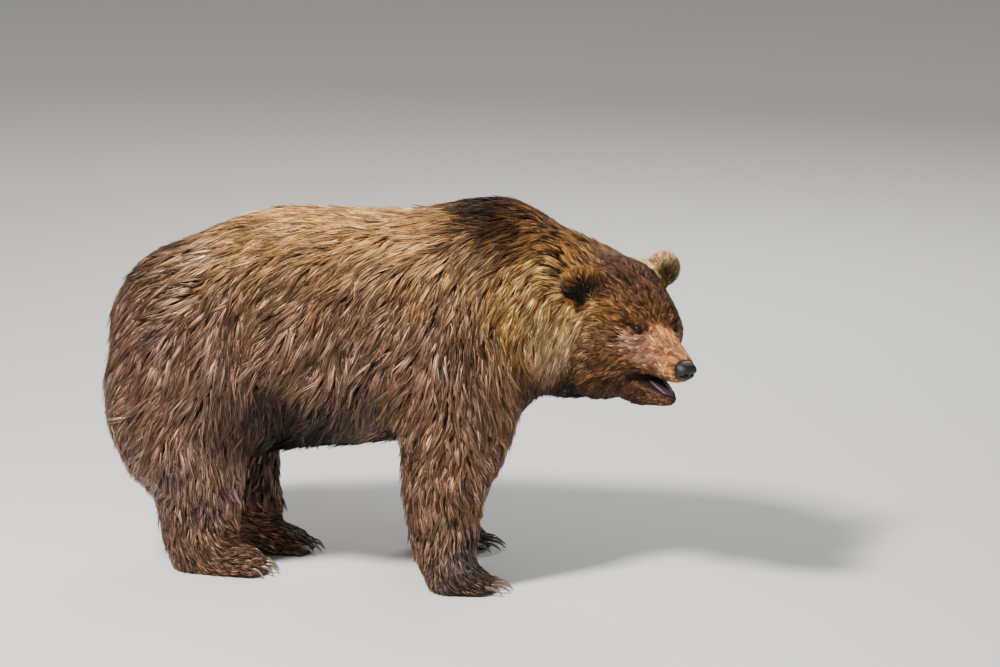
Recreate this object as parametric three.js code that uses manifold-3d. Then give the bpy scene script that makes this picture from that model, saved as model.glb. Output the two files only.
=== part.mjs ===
// A standing adult brown bear at life size, its head turned to its right and lowered.
// Millimetres. +X is the way the body points, +Y its left, +Z up. The origin is on the floor, under the middle
// of the whole animal. Every solid reaches to the tips of the coat.
import * as THREE from "three";
import { mergeVertices } from "three/addons/utils/BufferGeometryUtils.js";
import Module from "manifold-3d";

const wasm = await Module();
wasm.setup();

// ---------------------------------------------------------------- driving dimensions
const GAP = 0.35; // between neighbouring solids
const MERGE = 1e-3; // vertices closer than this are one
const SMOOTH = { body: 5, head: 3 }; // joined solids are simplified to within these

const HUMP_HEIGHT = 1045; // top of the shoulder hump above the floor
const BACK_HEIGHT = 995; // top of the loin
const BELLY_HEIGHT = 362; // lowest line of the belly's coat
const BODY_WIDTH = 600; // across the ribs
const RUMP_X = -1072; // hindmost point, behind the shoulder at X = 0

const FRONT_STANCE = { right: 226, left: 190 }; // fore paws' centres, from the midline
const HIND_STANCE = { right: 128, left: 78 }; // hind paws' centres
const FRONT_PAW_X = { right: -60, left: -135 }; // paw centres along the body
const HIND_PAW_X = { right: -752, left: -666 };

const HEAD_AT = [333, -98, 723]; // just behind the ear line, at the level of the palate
const HEAD_YAW = -45; // degrees, to its right
const HEAD_PITCH = 15.5; // degrees, nose down
const HEAD_WIDTH = 318; // across the cheeks
const MOUTH_OPEN = 9.5; // degrees that the jaw has dropped

const EYE_RADIUS = 12.5;
const EYE_AT = [146, 60, 67]; // in the head's frame, the left one
const EAR_AT = [-20, 138, 132]; // middle of the left ear's disc
const EAR_SIZE = [23, 63, 56]; // half its thickness, width and height
const EAR_TURN = { right: 32, left: 6 }; // degrees that each ear's opening faces out from the muzzle's line

const TOES = 5;
const FRONT_CLAW = 54; // along the curve
const HIND_CLAW = 36;

// ---------------------------------------------------------------- materials
const coat = (name, color) =>
  Object.assign(new THREE.MeshStandardMaterial({ color, roughness: 0.85, metalness: 0 }), { name });
const MATERIALS = {
  back: coat("back_coat", 0x8a6437),
  neck: coat("neck_coat", 0x8d5f2c),
  face: coat("face_coat", 0x6b4425),
  ear: coat("ear_coat", 0x9a743f),
  leg: coat("leg_coat", 0x553824),
  paw: coat("paw_coat", 0x49301f),
  nose: new THREE.MeshStandardMaterial({ color: 0x171312, roughness: 0.45, metalness: 0 }),
  tongue: new THREE.MeshStandardMaterial({ color: 0x6b3d44, roughness: 0.4, metalness: 0 }),
  eye: new THREE.MeshStandardMaterial({ color: 0x1c110a, roughness: 0.08, metalness: 0 }),
  claw: new THREE.MeshStandardMaterial({ color: 0x8b7a60, roughness: 0.4, metalness: 0 }),
};

// ---------------------------------------------------------------- shape tools
const vector = (p) => new THREE.Vector3(...p);
const radians = THREE.MathUtils.degToRad;

// A closed geometry as a solid in the body's frame.
function solidOf(geometry, matrix = new THREE.Matrix4()) {
  const bare = geometry.clone();
  bare.deleteAttribute("normal");
  bare.deleteAttribute("uv");
  const merged = mergeVertices(bare.applyMatrix4(matrix), MERGE);
  return new wasm.Manifold(
    new wasm.Mesh({
      numProp: 3,
      vertProperties: merged.attributes.position.array,
      triVerts: new Uint32Array(merged.index.array),
    }),
  );
}

// A limb or trunk along a smooth line. Each station says where the line passes and the half sizes of the section
// there: `side` along `sideways`, `deep` across it, and `lean`, by which the top is narrower than the bottom.
// `round` is the share of the length that each end takes to close like a dome, `full` squares the section's
// corners as it drops below 1, and `grow` fattens the whole. Sections stand square to the line, or upright.
function loft(stations, { upright = false, sides = 16, rings = 12, round = [0, 0], full = 1, grow = 0 } = {}) {
  const line = new THREE.CatmullRomCurve3(stations.map((s) => vector(s.at)));
  const sizes = new THREE.CatmullRomCurve3(
    stations.map((s) => new THREE.Vector3(s.side, s.deep, 1000 * (s.lean ?? 0))),
  );
  const dome = (t, share) => (t < share ? Math.sqrt(Math.max(0, 1 - (1 - t / share) ** 2)) : 1);
  const geometry = new THREE.CylinderGeometry(1, 1, 1, sides, rings);
  const corner = geometry.attributes.position;
  for (let i = 0; i < corner.count; i++) {
    const even = corner.getY(i) + 0.5;
    const crowded = (1 - Math.cos(Math.PI * even)) / 2;
    const t = THREE.MathUtils.lerp(even, crowded, round[0] + round[1] > 0 ? 0.8 : 0);
    const tangent = line.getTangent(t);
    const across = new THREE.Vector3(0, 1, 0);
    if (!upright) across.addScaledVector(tangent, -across.dot(tangent)).normalize();
    const over = upright ? new THREE.Vector3(0, 0, 1) : new THREE.Vector3().crossVectors(tangent, across);
    const size = sizes.getPoint(t);
    const closing = Math.max(0.08, dome(t, round[0]) * dome(1 - t, round[1]));
    const [c, s] = [corner.getX(i), -corner.getZ(i)].map((v) => Math.sign(v) * Math.abs(v) ** full);
    const end = even === 0 ? -grow : even === 1 ? grow : 0;
    const point = line
      .getPoint(t)
      .addScaledVector(across, (size.x * closing + grow) * c * (1 - (size.z / 1000) * s))
      .addScaledVector(over, (size.y * closing + grow) * s)
      .addScaledVector(tangent, end);
    corner.setXYZ(i, point.x, point.y, point.z);
  }
  return geometry;
}

// An ellipsoid of these half sizes, turned by degrees about X, Y and Z and then set down.
function blob(radii, at, turn = [0, 0, 0], [sides, rings] = [14, 10]) {
  const geometry = new THREE.SphereGeometry(1, sides, rings);
  const spin = new THREE.Quaternion().setFromEuler(new THREE.Euler(...turn.map(radians), "ZYX"));
  return geometry.applyMatrix4(new THREE.Matrix4().compose(vector(at), spin, vector(radii)));
}

// A box between two corners, for cutting.
function block(low, high) {
  const [a, b] = [vector(low), vector(high)];
  const size = b.clone().sub(a);
  return new THREE.BoxGeometry(...size).translate(...a.add(b).multiplyScalar(0.5));
}

// Splits a solid by a cutter into [the part inside, the part outside], a gap apart.
function part(solid, cutter) {
  return [solid.intersect(solidOf(cutter(0))), solid.subtract(solidOf(cutter(GAP)))];
}

// Adds a solid to the scene as a mesh placed in its parent's own frame.
function addMesh(parent, name, solid, material) {
  const { vertProperties, triVerts } = solid.getMesh();
  const geometry = new THREE.BufferGeometry()
    .setAttribute("position", new THREE.BufferAttribute(new Float32Array(vertProperties), 3))
    .setIndex(new THREE.BufferAttribute(new Uint32Array(triVerts), 1));
  parent.updateWorldMatrix(true, false);
  geometry.applyMatrix4(parent.matrixWorld.clone().invert());
  geometry.computeVertexNormals();
  const mesh = new THREE.Mesh(geometry, material);
  mesh.name = name;
  parent.add(mesh);
}

// A station of a loft that runs along X, from the heights of its top and bottom.
const girth = (x, top, bottom, side, lean = 0, y = 0) => ({
  at: [x, y, (top + bottom) / 2],
  side,
  deep: (top - bottom) / 2,
  lean,
});

const mirrored = (side) => (side === "left" ? 1 : -1);
const SIDES = ["right", "left"];

// ---------------------------------------------------------------- trunk and neck
function trunkSolid() {
  const half = BODY_WIDTH / 2;
  return solidOf(
    loft(
      [
        girth(RUMP_X, 778, 470, half * 0.6, 0.05),
        girth(RUMP_X + 90, 846, 392, half * 0.8, 0.08),
        girth(-880, 886, 345, half * 0.88, 0.1),
        girth(-760, 942, 326, half * 0.92, 0.12),
        girth(-640, 984, 322, half * 0.96, 0.12),
        girth(-500, BACK_HEIGHT, 340, half, 0.12),
        girth(-340, BACK_HEIGHT - 3, BELLY_HEIGHT, half * 1.01, 0.14),
        girth(-180, 1002, 378, half * 0.95, 0.2),
        girth(-60, HUMP_HEIGHT - 8, 395, half * 0.87, 0.28),
        girth(40, HUMP_HEIGHT - 8, 425, half * 0.79, 0.27),
        girth(128, 988, 520, half * 0.7, 0.2),
        girth(216, 920, 600, half * 0.5, 0.12),
      ],
      { upright: true, sides: 20, rings: 22, round: [0.12, 0.06], full: 0.94 },
    ),
  );
}

function neckSolid() {
  const stations = [
    { at: [-40, 0, 725], side: 222, deep: 276, lean: 0.2 },
    { at: [90, 2, 747], side: 212, deep: 232, lean: 0.2 },
    { at: [185, 0, 720], side: 200, deep: 218, lean: 0.14 },
    { at: [262, -30, 701], side: 184, deep: 209, lean: 0.1 },
    { at: [322, -86, 688], side: 160, deep: 199, lean: 0.08 },
  ];
  return solidOf(loft(stations, { sides: 18, rings: 8, round: [0, 0.2], full: 0.92 }));
}

function tailSolid(grow = 0) {
  const stations = [
    { at: [RUMP_X + 96, 0, 784], side: 34, deep: 24 },
    { at: [RUMP_X + 48, 0, 746], side: 38, deep: 26 },
    { at: [RUMP_X + 20, 0, 692], side: 34, deep: 24 },
    { at: [RUMP_X + 8, 0, 632], side: 24, deep: 16 },
  ];
  return solidOf(loft(stations, { sides: 8, rings: 5, round: [0, 0.35], grow }));
}

// ---------------------------------------------------------------- legs
function frontLegSolid(side) {
  const m = mirrored(side);
  const shift = FRONT_PAW_X[side] - FRONT_PAW_X.right;
  const foot = FRONT_STANCE[side];
  const follow = (z) => shift * THREE.MathUtils.clamp((620 - z) / 500, 0, 1);
  const row = (x, y, z, sideHalf, deep) => ({ at: [x + follow(z), m * y, z], side: sideHalf, deep });
  const stations = [
    row(-66, 118, 830, 60, 100),
    row(-74, 150, 700, 105, 160),
    row(-82, 176, 570, 118, 176),
    row(-90, 188, 450, 110, 166),
    row(-108, (foot + 190) / 2, 365, 95, 141),
    row(-121, foot, 280, 84, 117),
    row(-122, foot, 180, 76, 101),
    row(-112, foot, 100, 70, 86),
    row(-100, foot, 50, 68, 72),
  ];
  return solidOf(loft(stations, { sides: 14, rings: 13, round: [0.12, 0] }));
}

function hindLegSolid(side) {
  const m = mirrored(side);
  const shift = HIND_PAW_X[side] - HIND_PAW_X.right;
  const foot = HIND_STANCE[side];
  const follow = (z) => shift * THREE.MathUtils.clamp((560 - z) / 460, 0, 1);
  const row = (x, y, z, sideHalf, deep) => ({ at: [x + follow(z), m * y, z], side: sideHalf, deep });
  const stations = [
    row(-840, 110, 790, 66, 80),
    row(-848, 146, 680, 116, 172),
    row(-852, 160, 540, 128, 212),
    row(-846, 156, 430, 122, 212),
    row(-834, 148, 355, 110, 188),
    row(-816, foot * 0.4 + 84, 285, 94, 147),
    row(-812, foot * 0.7 + 40, 200, 82, 122),
    row(-806, foot, 120, 74, 114),
    row(-800, foot, 60, 68, 96),
  ];
  return solidOf(loft(stations, { sides: 14, rings: 13, round: [0.12, 0] }));
}

// ---------------------------------------------------------------- paws, in a frame on the floor under the paw's centre
const FRONT_PAW = { back: -108, front: 70, width: 142, heel: 0.82, ankle: 104, knuckle: 54, toe: 40, claw: FRONT_CLAW };
const HIND_PAW = { back: -142, front: 124, width: 142, heel: 0.7, ankle: 110, knuckle: 56, toe: 42, claw: HIND_CLAW };
const SOLE_DEPTH = 34; // how far below the floor a paw's section would close, had the floor not cut it

// Where each toe's tip stands: the middle ones reach furthest forward.
function toePlaces(paw) {
  return Array.from({ length: TOES }, (_, i) => {
    const across = (i / (TOES - 1)) * 2 - 1;
    return {
      across,
      x: paw.front - 26 * across ** 2 - 8,
      y: across * (paw.width / 2 - 17),
      turn: across * 9,
    };
  });
}

function pawSolid(paw, matrix) {
  const middle = (paw.back + paw.front) / 2;
  const half = paw.width / 2;
  const palm = loft(
    [
      girth(paw.back, paw.ankle * 0.7, -SOLE_DEPTH, half * paw.heel * 0.8),
      girth(paw.back + 42, paw.ankle, -SOLE_DEPTH, half * (paw.heel + 1) / 2),
      girth(middle, paw.ankle * 0.86, -SOLE_DEPTH, half * 0.95),
      girth(paw.front - 42, paw.knuckle + 12, -SOLE_DEPTH * 0.8, half),
      girth(paw.front - 8, paw.toe + 2, -SOLE_DEPTH * 0.6, half * 0.92),
    ],
    { sides: 10, rings: 6, round: [0.18, 0.12], full: 0.86 },
  );
  const toe = (place) => blob([30, 16.5, paw.toe / 2 + 8], [place.x, place.y, paw.toe / 2 - 6], [0, 0, place.turn], [6, 4]);
  return toePlaces(paw).reduce((sum, place) => sum.add(solidOf(toe(place), matrix)), solidOf(palm, matrix));
}

function clawSolid(paw, place, matrix, grow = 0) {
  const reach = paw.claw;
  const stations = [
    { at: [-14, 0, paw.toe * 0.54], side: 5.4, deep: 8.2 },
    { at: [reach * 0.26, 0, paw.toe * 0.6], side: 5, deep: 7.6 },
    { at: [reach * 0.6, 0, paw.toe * 0.45], side: 3.8, deep: 5.4 },
    { at: [reach * 0.88, 0, 4.5], side: 1.6, deep: 2.2 },
  ];
  const claw = loft(stations, { sides: 4, rings: 3, grow });
  claw.rotateZ(radians(place.turn * 0.6)).translate(place.x + 18, place.y, 0);
  return solidOf(claw, matrix);
}

// ---------------------------------------------------------------- head, in its own frame
function skullGeometries() {
  const half = HEAD_WIDTH / 2;
  const braincase = loft(
    [
      girth(-150, 140, -172, half * 0.84, 0.08),
      girth(-90, 168, -200, half * 0.95, 0.12),
      girth(-30, 182, -212, half, 0.16),
      girth(25, 174, -208, half, 0.18),
      girth(70, 150, -188, half * 0.97, 0.18),
      girth(105, 126, -150, half * 0.88, 0.14),
      girth(138, 100, -108, half * 0.68, 0.08),
      girth(170, 78, -74, half * 0.47, 0.04),
      girth(200, 64, -58, half * 0.37, 0),
    ],
    { upright: true, sides: 18, rings: 14, round: [0.1, 0.05], full: 0.86 },
  );
  const muzzle = loft(
    [
      girth(130, 88, -72, 74, 0.06),
      girth(165, 74, -60, 64, 0.04),
      girth(205, 57, -54, 56, 0),
      girth(248, 43, -46, 49, -0.04),
      girth(282, 34, -37, 42, -0.08),
      girth(306, 26, -28, 32, -0.1),
    ],
    { upright: true, sides: 14, rings: 7, round: [0, 0.14], full: 0.84 },
  );
  return [braincase, muzzle];
}

// The lower jaw hangs open about its hinge under the ear.
const JAW_HINGE = [20, 0, -40];
const dropped = (geometry) =>
  geometry
    .translate(...JAW_HINGE.map((v) => -v))
    .rotateY(radians(MOUTH_OPEN))
    .translate(...JAW_HINGE);

function lowerJaw(grow = 0) {
  const stations = [
    girth(50, -44, -170, 98),
    girth(130, -44, -152, 80),
    girth(190, -43, -134, 58),
    girth(232, -43, -100, 46),
    girth(284, -46, -74, 30),
  ];
  return dropped(loft(stations, { upright: true, sides: 10, rings: 6, round: [0, 0.2], full: 0.88, grow }));
}

// The outline that parts the lower jaw from the head: behind the corner of the mouth it runs down the cheek.
function jawCutter(grow) {
  const outline = [
    [116 - grow, -330],
    [116 - grow, -96],
    [168 - grow, -62 + grow],
    [380, -80 + grow],
    [380, -330],
  ].map(([x, z]) => new THREE.Vector2(x, z));
  return new THREE.ExtrudeGeometry(new THREE.Shape(outline), { depth: 400, bevelEnabled: false })
    .rotateX(Math.PI / 2)
    .translate(0, 200, 0);
}

function tongueShape(grow = 0) {
  const stations = [
    { at: [150, 0, -45], side: 26, deep: 7 },
    { at: [215, 0, -42], side: 26, deep: 7 },
    { at: [272, 0, -41], side: 20, deep: 6 },
  ];
  return dropped(loft(stations, { sides: 8, rings: 4, round: [0.15, 0.3], grow }));
}

const noseShape = (grow = 0) => blob([23 + grow, 30 + grow, 24 + grow], [294, 0, 7], [0, 14, 0], [12, 8]);
const eyeShape = (m, grow = 0) =>
  blob(Array(3).fill(EYE_RADIUS + grow), [EYE_AT[0], m * EYE_AT[1], EYE_AT[2]], [0, 0, 0], [8, 6]);

// The ear's disc faces forward and outward, and its front is hollow.
const earTurn = (m) => [-m * 16, -14, m > 0 ? EAR_TURN.left : -EAR_TURN.right];
const earShape = (m, grow = 0) =>
  blob(EAR_SIZE.map((r) => r + grow), [EAR_AT[0], m * EAR_AT[1], EAR_AT[2]], earTurn(m), [12, 8]);
function earHollow(m) {
  const [thick, wide, high] = EAR_SIZE;
  const forward = new THREE.Vector3(thick * 0.95, 0, -4).applyEuler(new THREE.Euler(...earTurn(m).map(radians), "ZYX"));
  const at = [EAR_AT[0] + forward.x, m * EAR_AT[1] + forward.y, EAR_AT[2] + forward.z];
  return blob([thick * 1.05, wide * 0.66, high * 0.68], at, earTurn(m), [10, 5]);
}

// ---------------------------------------------------------------- the animal
const FLOOR = block([-2500, -1500, -400], [2500, 1500, 0]);
const HALF_SPACE = 3000; // longer than the animal, for cutters that reach past it

const bear = new THREE.Group();
const headGroup = new THREE.Group();
headGroup.position.set(...HEAD_AT);
headGroup.rotation.set(0, radians(HEAD_PITCH), radians(HEAD_YAW), "ZYX");
bear.add(headGroup);
headGroup.updateWorldMatrix(true, false);
const inHead = (geometry) => solidOf(geometry, headGroup.matrixWorld);

const pawGroups = {};
for (const side of SIDES) {
  for (const [end, xs, ys, toeIn] of [
    ["front", FRONT_PAW_X, FRONT_STANCE, 6],
    ["hind", HIND_PAW_X, HIND_STANCE, -6],
  ]) {
    const group = new THREE.Group();
    group.position.set(xs[side], mirrored(side) * ys[side], 0);
    group.rotation.z = radians(-mirrored(side) * toeIn);
    bear.add(group);
    group.updateWorldMatrix(true, false);
    pawGroups[end + side] = group;
  }
}

// Flesh that is joined whole and then parted.
const pawSizes = { front: FRONT_PAW, hind: HIND_PAW };
let flesh = trunkSolid().add(neckSolid());
for (const side of SIDES) {
  flesh = flesh.add(frontLegSolid(side)).add(hindLegSolid(side));
  flesh = flesh.add(pawSolid(FRONT_PAW, pawGroups["front" + side].matrixWorld));
  flesh = flesh.add(pawSolid(HIND_PAW, pawGroups["hind" + side].matrixWorld));
}
const skull = skullGeometries().reduce((sum, g) => sum.add(inHead(g)), inHead(lowerJaw()));
flesh = flesh.subtract(solidOf(FLOOR)).simplify(SMOOTH.body).add(skull.simplify(SMOOTH.head));

// Head from neck: all that lies ahead of a plane behind the ears.
const HEAD_CUT = { through: [243, 0, 700], yaw: -25, lean: -8 }; // degrees
// Neck from trunk: a plane that leans back from the chest to the nape.
const NECK_CUT = { through: [118, 0, 760], yaw: 0, lean: -12 };
const aheadOf = (cut) => (grow) =>
  block([-grow, -HALF_SPACE, -HALF_SPACE], [HALF_SPACE, HALF_SPACE, HALF_SPACE])
    .rotateY(radians(cut.lean))
    .rotateZ(radians(cut.yaw))
    .translate(...cut.through);
let head;
[head, flesh] = part(flesh, aheadOf(HEAD_CUT));

let neck;
[neck, flesh] = part(flesh, aheadOf(NECK_CUT));

// Legs from trunk: each cutter has a roof that rises outward from the armpit or groin.
const LEG_CUTS = {
  front: { from: -320, to: 200, inner: 62, roof: 452, rise: 42 },
  hind: { from: -1300, to: -590, inner: 2, roof: 400, rise: 46 },
};
function legCutter({ from, to, inner, roof, rise }, side) {
  return (grow) => {
    const outer = 700;
    const climb = (outer - inner) * Math.tan(radians(rise));
    const m = mirrored(side);
    const outline = [
      [m * (inner - grow), -100],
      [m * outer, -100],
      [m * outer, roof + climb + grow * 2],
      [m * (inner - grow), roof + grow * 2],
    ].map(([y, z]) => new THREE.Vector2(y, z));
    return new THREE.ExtrudeGeometry(new THREE.Shape(outline), { depth: to - from + 2 * grow, bevelEnabled: false })
      .applyMatrix4(new THREE.Matrix4().makeBasis(vector([0, 1, 0]), vector([0, 0, 1]), vector([1, 0, 0])))
      .translate(from - grow, 0, 0);
  };
}

const below = (height) => (grow) =>
  block([-HALF_SPACE, -HALF_SPACE, -HALF_SPACE], [HALF_SPACE, HALF_SPACE, height + grow]);
const LEG_NODES = {
  front: { upper: "upper_arm", lower: "forearm", paw: "fore_paw", joint: 350, ankle: 84, from: -350, to: 300 },
  hind: { upper: "thigh", lower: "shank", paw: "hind_paw", joint: 300, ankle: 92, from: -1300, to: -400 },
};
const footCutter = ({ ankle, from, to }, side) => {
  const near = side === "left" ? 2 : -700;
  return (grow) => block([from - grow, near - grow, -100], [to + grow, near + 698 + grow, ankle + grow]);
};
for (const end of ["front", "hind"]) {
  for (const side of SIDES) {
    const names = LEG_NODES[end];
    const group = pawGroups[end + side];
    let [leg, upper, lower, paw] = [];
    [paw, flesh] = part(flesh, footCutter(names, side));
    [leg, flesh] = part(flesh, legCutter(LEG_CUTS[end], side));
    [lower, upper] = part(leg, below(names.joint));
    for (const [i, place] of toePlaces(pawSizes[end]).entries()) {
      paw = paw.subtract(clawSolid(pawSizes[end], place, group.matrixWorld, GAP));
      const claw = clawSolid(pawSizes[end], place, group.matrixWorld);
      addMesh(group, `claw_${end}_${side}_${i + 1}`, claw, MATERIALS.claw);
    }
    addMesh(bear, `${names.upper}_${side}`, upper, MATERIALS.leg);
    addMesh(bear, `${names.lower}_${side}`, lower, MATERIALS.leg);
    addMesh(group, `${names.paw}_${side}`, paw, MATERIALS.paw);
  }
}

// Tail, ears, eyes, nose, jaw and tongue.
addMesh(bear, "tail", tailSolid(), MATERIALS.back);
addMesh(bear, "trunk", flesh.subtract(tailSolid(GAP)), MATERIALS.back);
addMesh(bear, "neck", neck, MATERIALS.neck);
for (const side of SIDES) {
  const m = mirrored(side);
  const ear = inHead(earShape(m)).subtract(inHead(earHollow(m)));
  head = head.subtract(inHead(earShape(m, GAP))).subtract(inHead(eyeShape(m, GAP)));
  addMesh(headGroup, `ear_${side}`, ear, MATERIALS.ear);
  addMesh(headGroup, `eye_${side}`, inHead(eyeShape(m)), MATERIALS.eye);
}
head = head.subtract(inHead(noseShape(GAP)));
addMesh(headGroup, "nose", inHead(noseShape()), MATERIALS.nose);
let jaw;
[jaw, head] = part(head, (grow) => jawCutter(grow).applyMatrix4(headGroup.matrixWorld));
addMesh(headGroup, "jaw", jaw.subtract(inHead(tongueShape(GAP))), MATERIALS.face);
addMesh(headGroup, "head", head.subtract(inHead(tongueShape(GAP))), MATERIALS.face);
addMesh(headGroup, "tongue", inHead(tongueShape()), MATERIALS.tongue);

// The origin goes to the floor under the middle of the whole.
bear.updateWorldMatrix(true, true);
const box = new THREE.Box3().setFromObject(bear, true);
bear.position.set(-(box.min.x + box.max.x) / 2, -(box.min.y + box.max.y) / 2, 0);

export default bear;
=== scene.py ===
"""A life-size brown bear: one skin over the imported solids, its coat in locks of solid mesh, and the bare parts."""

import math

import bpy
import bmesh
import numpy as np
from mathutils import Matrix, Vector
from mathutils.bvhtree import BVHTree
from mathutils.kdtree import KDTree


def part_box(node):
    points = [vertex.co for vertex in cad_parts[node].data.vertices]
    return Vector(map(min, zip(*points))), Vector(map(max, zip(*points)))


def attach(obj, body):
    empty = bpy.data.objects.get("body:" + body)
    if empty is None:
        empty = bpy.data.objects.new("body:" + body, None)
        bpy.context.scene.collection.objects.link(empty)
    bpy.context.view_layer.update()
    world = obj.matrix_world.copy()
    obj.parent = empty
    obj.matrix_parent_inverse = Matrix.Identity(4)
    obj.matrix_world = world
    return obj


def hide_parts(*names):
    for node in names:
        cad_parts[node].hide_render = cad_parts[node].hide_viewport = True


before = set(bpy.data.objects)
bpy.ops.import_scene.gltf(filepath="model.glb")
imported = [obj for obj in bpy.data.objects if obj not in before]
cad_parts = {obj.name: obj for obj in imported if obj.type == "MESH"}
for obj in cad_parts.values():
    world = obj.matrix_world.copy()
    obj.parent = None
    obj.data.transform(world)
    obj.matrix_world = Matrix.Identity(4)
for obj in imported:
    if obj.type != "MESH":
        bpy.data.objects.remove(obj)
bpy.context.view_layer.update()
rng = np.random.default_rng(7)

# ------------------------------------------------------------------ where things are, in metres
HEAD_YAW = math.radians(-45)
HEAD_PITCH = math.radians(15.5)
HEAD_AT = np.array([0.333, -0.098, 0.723])  # from the floor under the shoulder
EYE_AT = np.array([0.146, 0.060, 0.067])  # the left eye, in the head's own frame
EAR_AT = np.array([-0.020, 0.138, 0.132])
EAR_SIZE = np.array([0.023, 0.063, 0.056])
EAR_TURN = {"right": 32, "left": 6}
NOSE_AT = np.array([0.294, 0.0, 0.007])
NOSE_SIZE = np.array([0.023, 0.030, 0.024])
EYE_RADIUS = 0.0125
MOUTH_OPEN = math.radians(9.5)
JAW_HINGE = np.array([0.020, 0.0, -0.040])

turn = Matrix.Rotation(HEAD_YAW, 3, "Z") @ Matrix.Rotation(HEAD_PITCH, 3, "Y")
HEAD_TURN = np.array(turn)


def middle(node):
    low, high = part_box(node)
    return (np.array(low) + np.array(high)) / 2


EYES_MIDDLE = (middle("eye_left") + middle("eye_right")) / 2
SHOULDER = EYES_MIDDLE - HEAD_TURN @ (EYE_AT * [1, 0, 1]) - HEAD_AT  # the shoulder line on the floor
HEAD_ORIGIN = SHOULDER + HEAD_AT


def to_head(points):
    return (points - HEAD_ORIGIN) @ HEAD_TURN


def from_head(points):
    return np.asarray(points) @ HEAD_TURN.T + HEAD_ORIGIN


# ------------------------------------------------------------------ colours
def linear(hex_colour):
    """An sRGB hex colour as linear red, green, blue."""
    value = int(hex_colour.lstrip("#"), 16)
    srgb = np.array([(value >> 16) & 255, (value >> 8) & 255, value & 255]) / 255
    return np.where(srgb <= 0.04045, srgb / 12.92, ((srgb + 0.055) / 1.055) ** 2.4)


PALETTE = {
    "hump": linear("#1c0b00"),
    "back": linear("#a37646"),
    "tan": linear("#86633f"),
    "croup": linear("#57402f"),
    "flank": linear("#8a6a59"),
    # Near black under the belly, the chest and between the legs: the coat's own dark brown, darkened further with
    # painted shade from the body above.
    "low": linear("#0e0907"),
    "rump": linear("#77594a"),
    "thigh": linear("#75594b"),
    "leg": linear("#7f604b"),
    # Dark brown with painted shade: used in the creases in front of the shoulder and under the chest.
    "dark_brown_and_crease_shade": linear("#3c2a20"),
    "paw": linear("#4e3a2b"),
    "shoulder": linear("#80604e"),
    "gold": linear("#c29559"),
    "withers": linear("#98714a"),
    "swirl": linear("#a88765"),
    "hind_leg": linear("#83675a"),
    "neck_spot": linear("#5d4a30"),
    # A greyish brown: the wrist's brown with a painted sheen of wet hair.
    "wrist_grey_sheen": linear("#80706c"),
    "belly_edge": linear("#463329"),
    "ruff": linear("#bd9f82"),
    "nape": linear("#573a1a"),
    # Painted shadow: the throat under the jaw and the neck is painted near black for the shade beneath them.
    "throat_shadow": linear("#150d08"),
    "crown": linear("#432a1d"),
    "forehead": linear("#53361d"),
    "face": linear("#5b3c26"),
    "temple": linear("#5a3818"),
    "cheek": linear("#5f4a38"),
    "cheek_low": linear("#543a22"),
    "under_eye": linear("#8a6450"),
    "muzzle": linear("#a87248"),
    "jaw": linear("#4c3422"),
    "ear_rim": linear("#8e6231"),
    # The far ear's rim: partly its own pale hair, partly a painted highlight where the light falls on it.
    "far_ear_rim_pale_and_lit": linear("#efbf86"),
    # Painted shade: the ear's hollow, near black where it lies in shade.
    "ear_hollow_shade": linear("#090403"),
}

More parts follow.
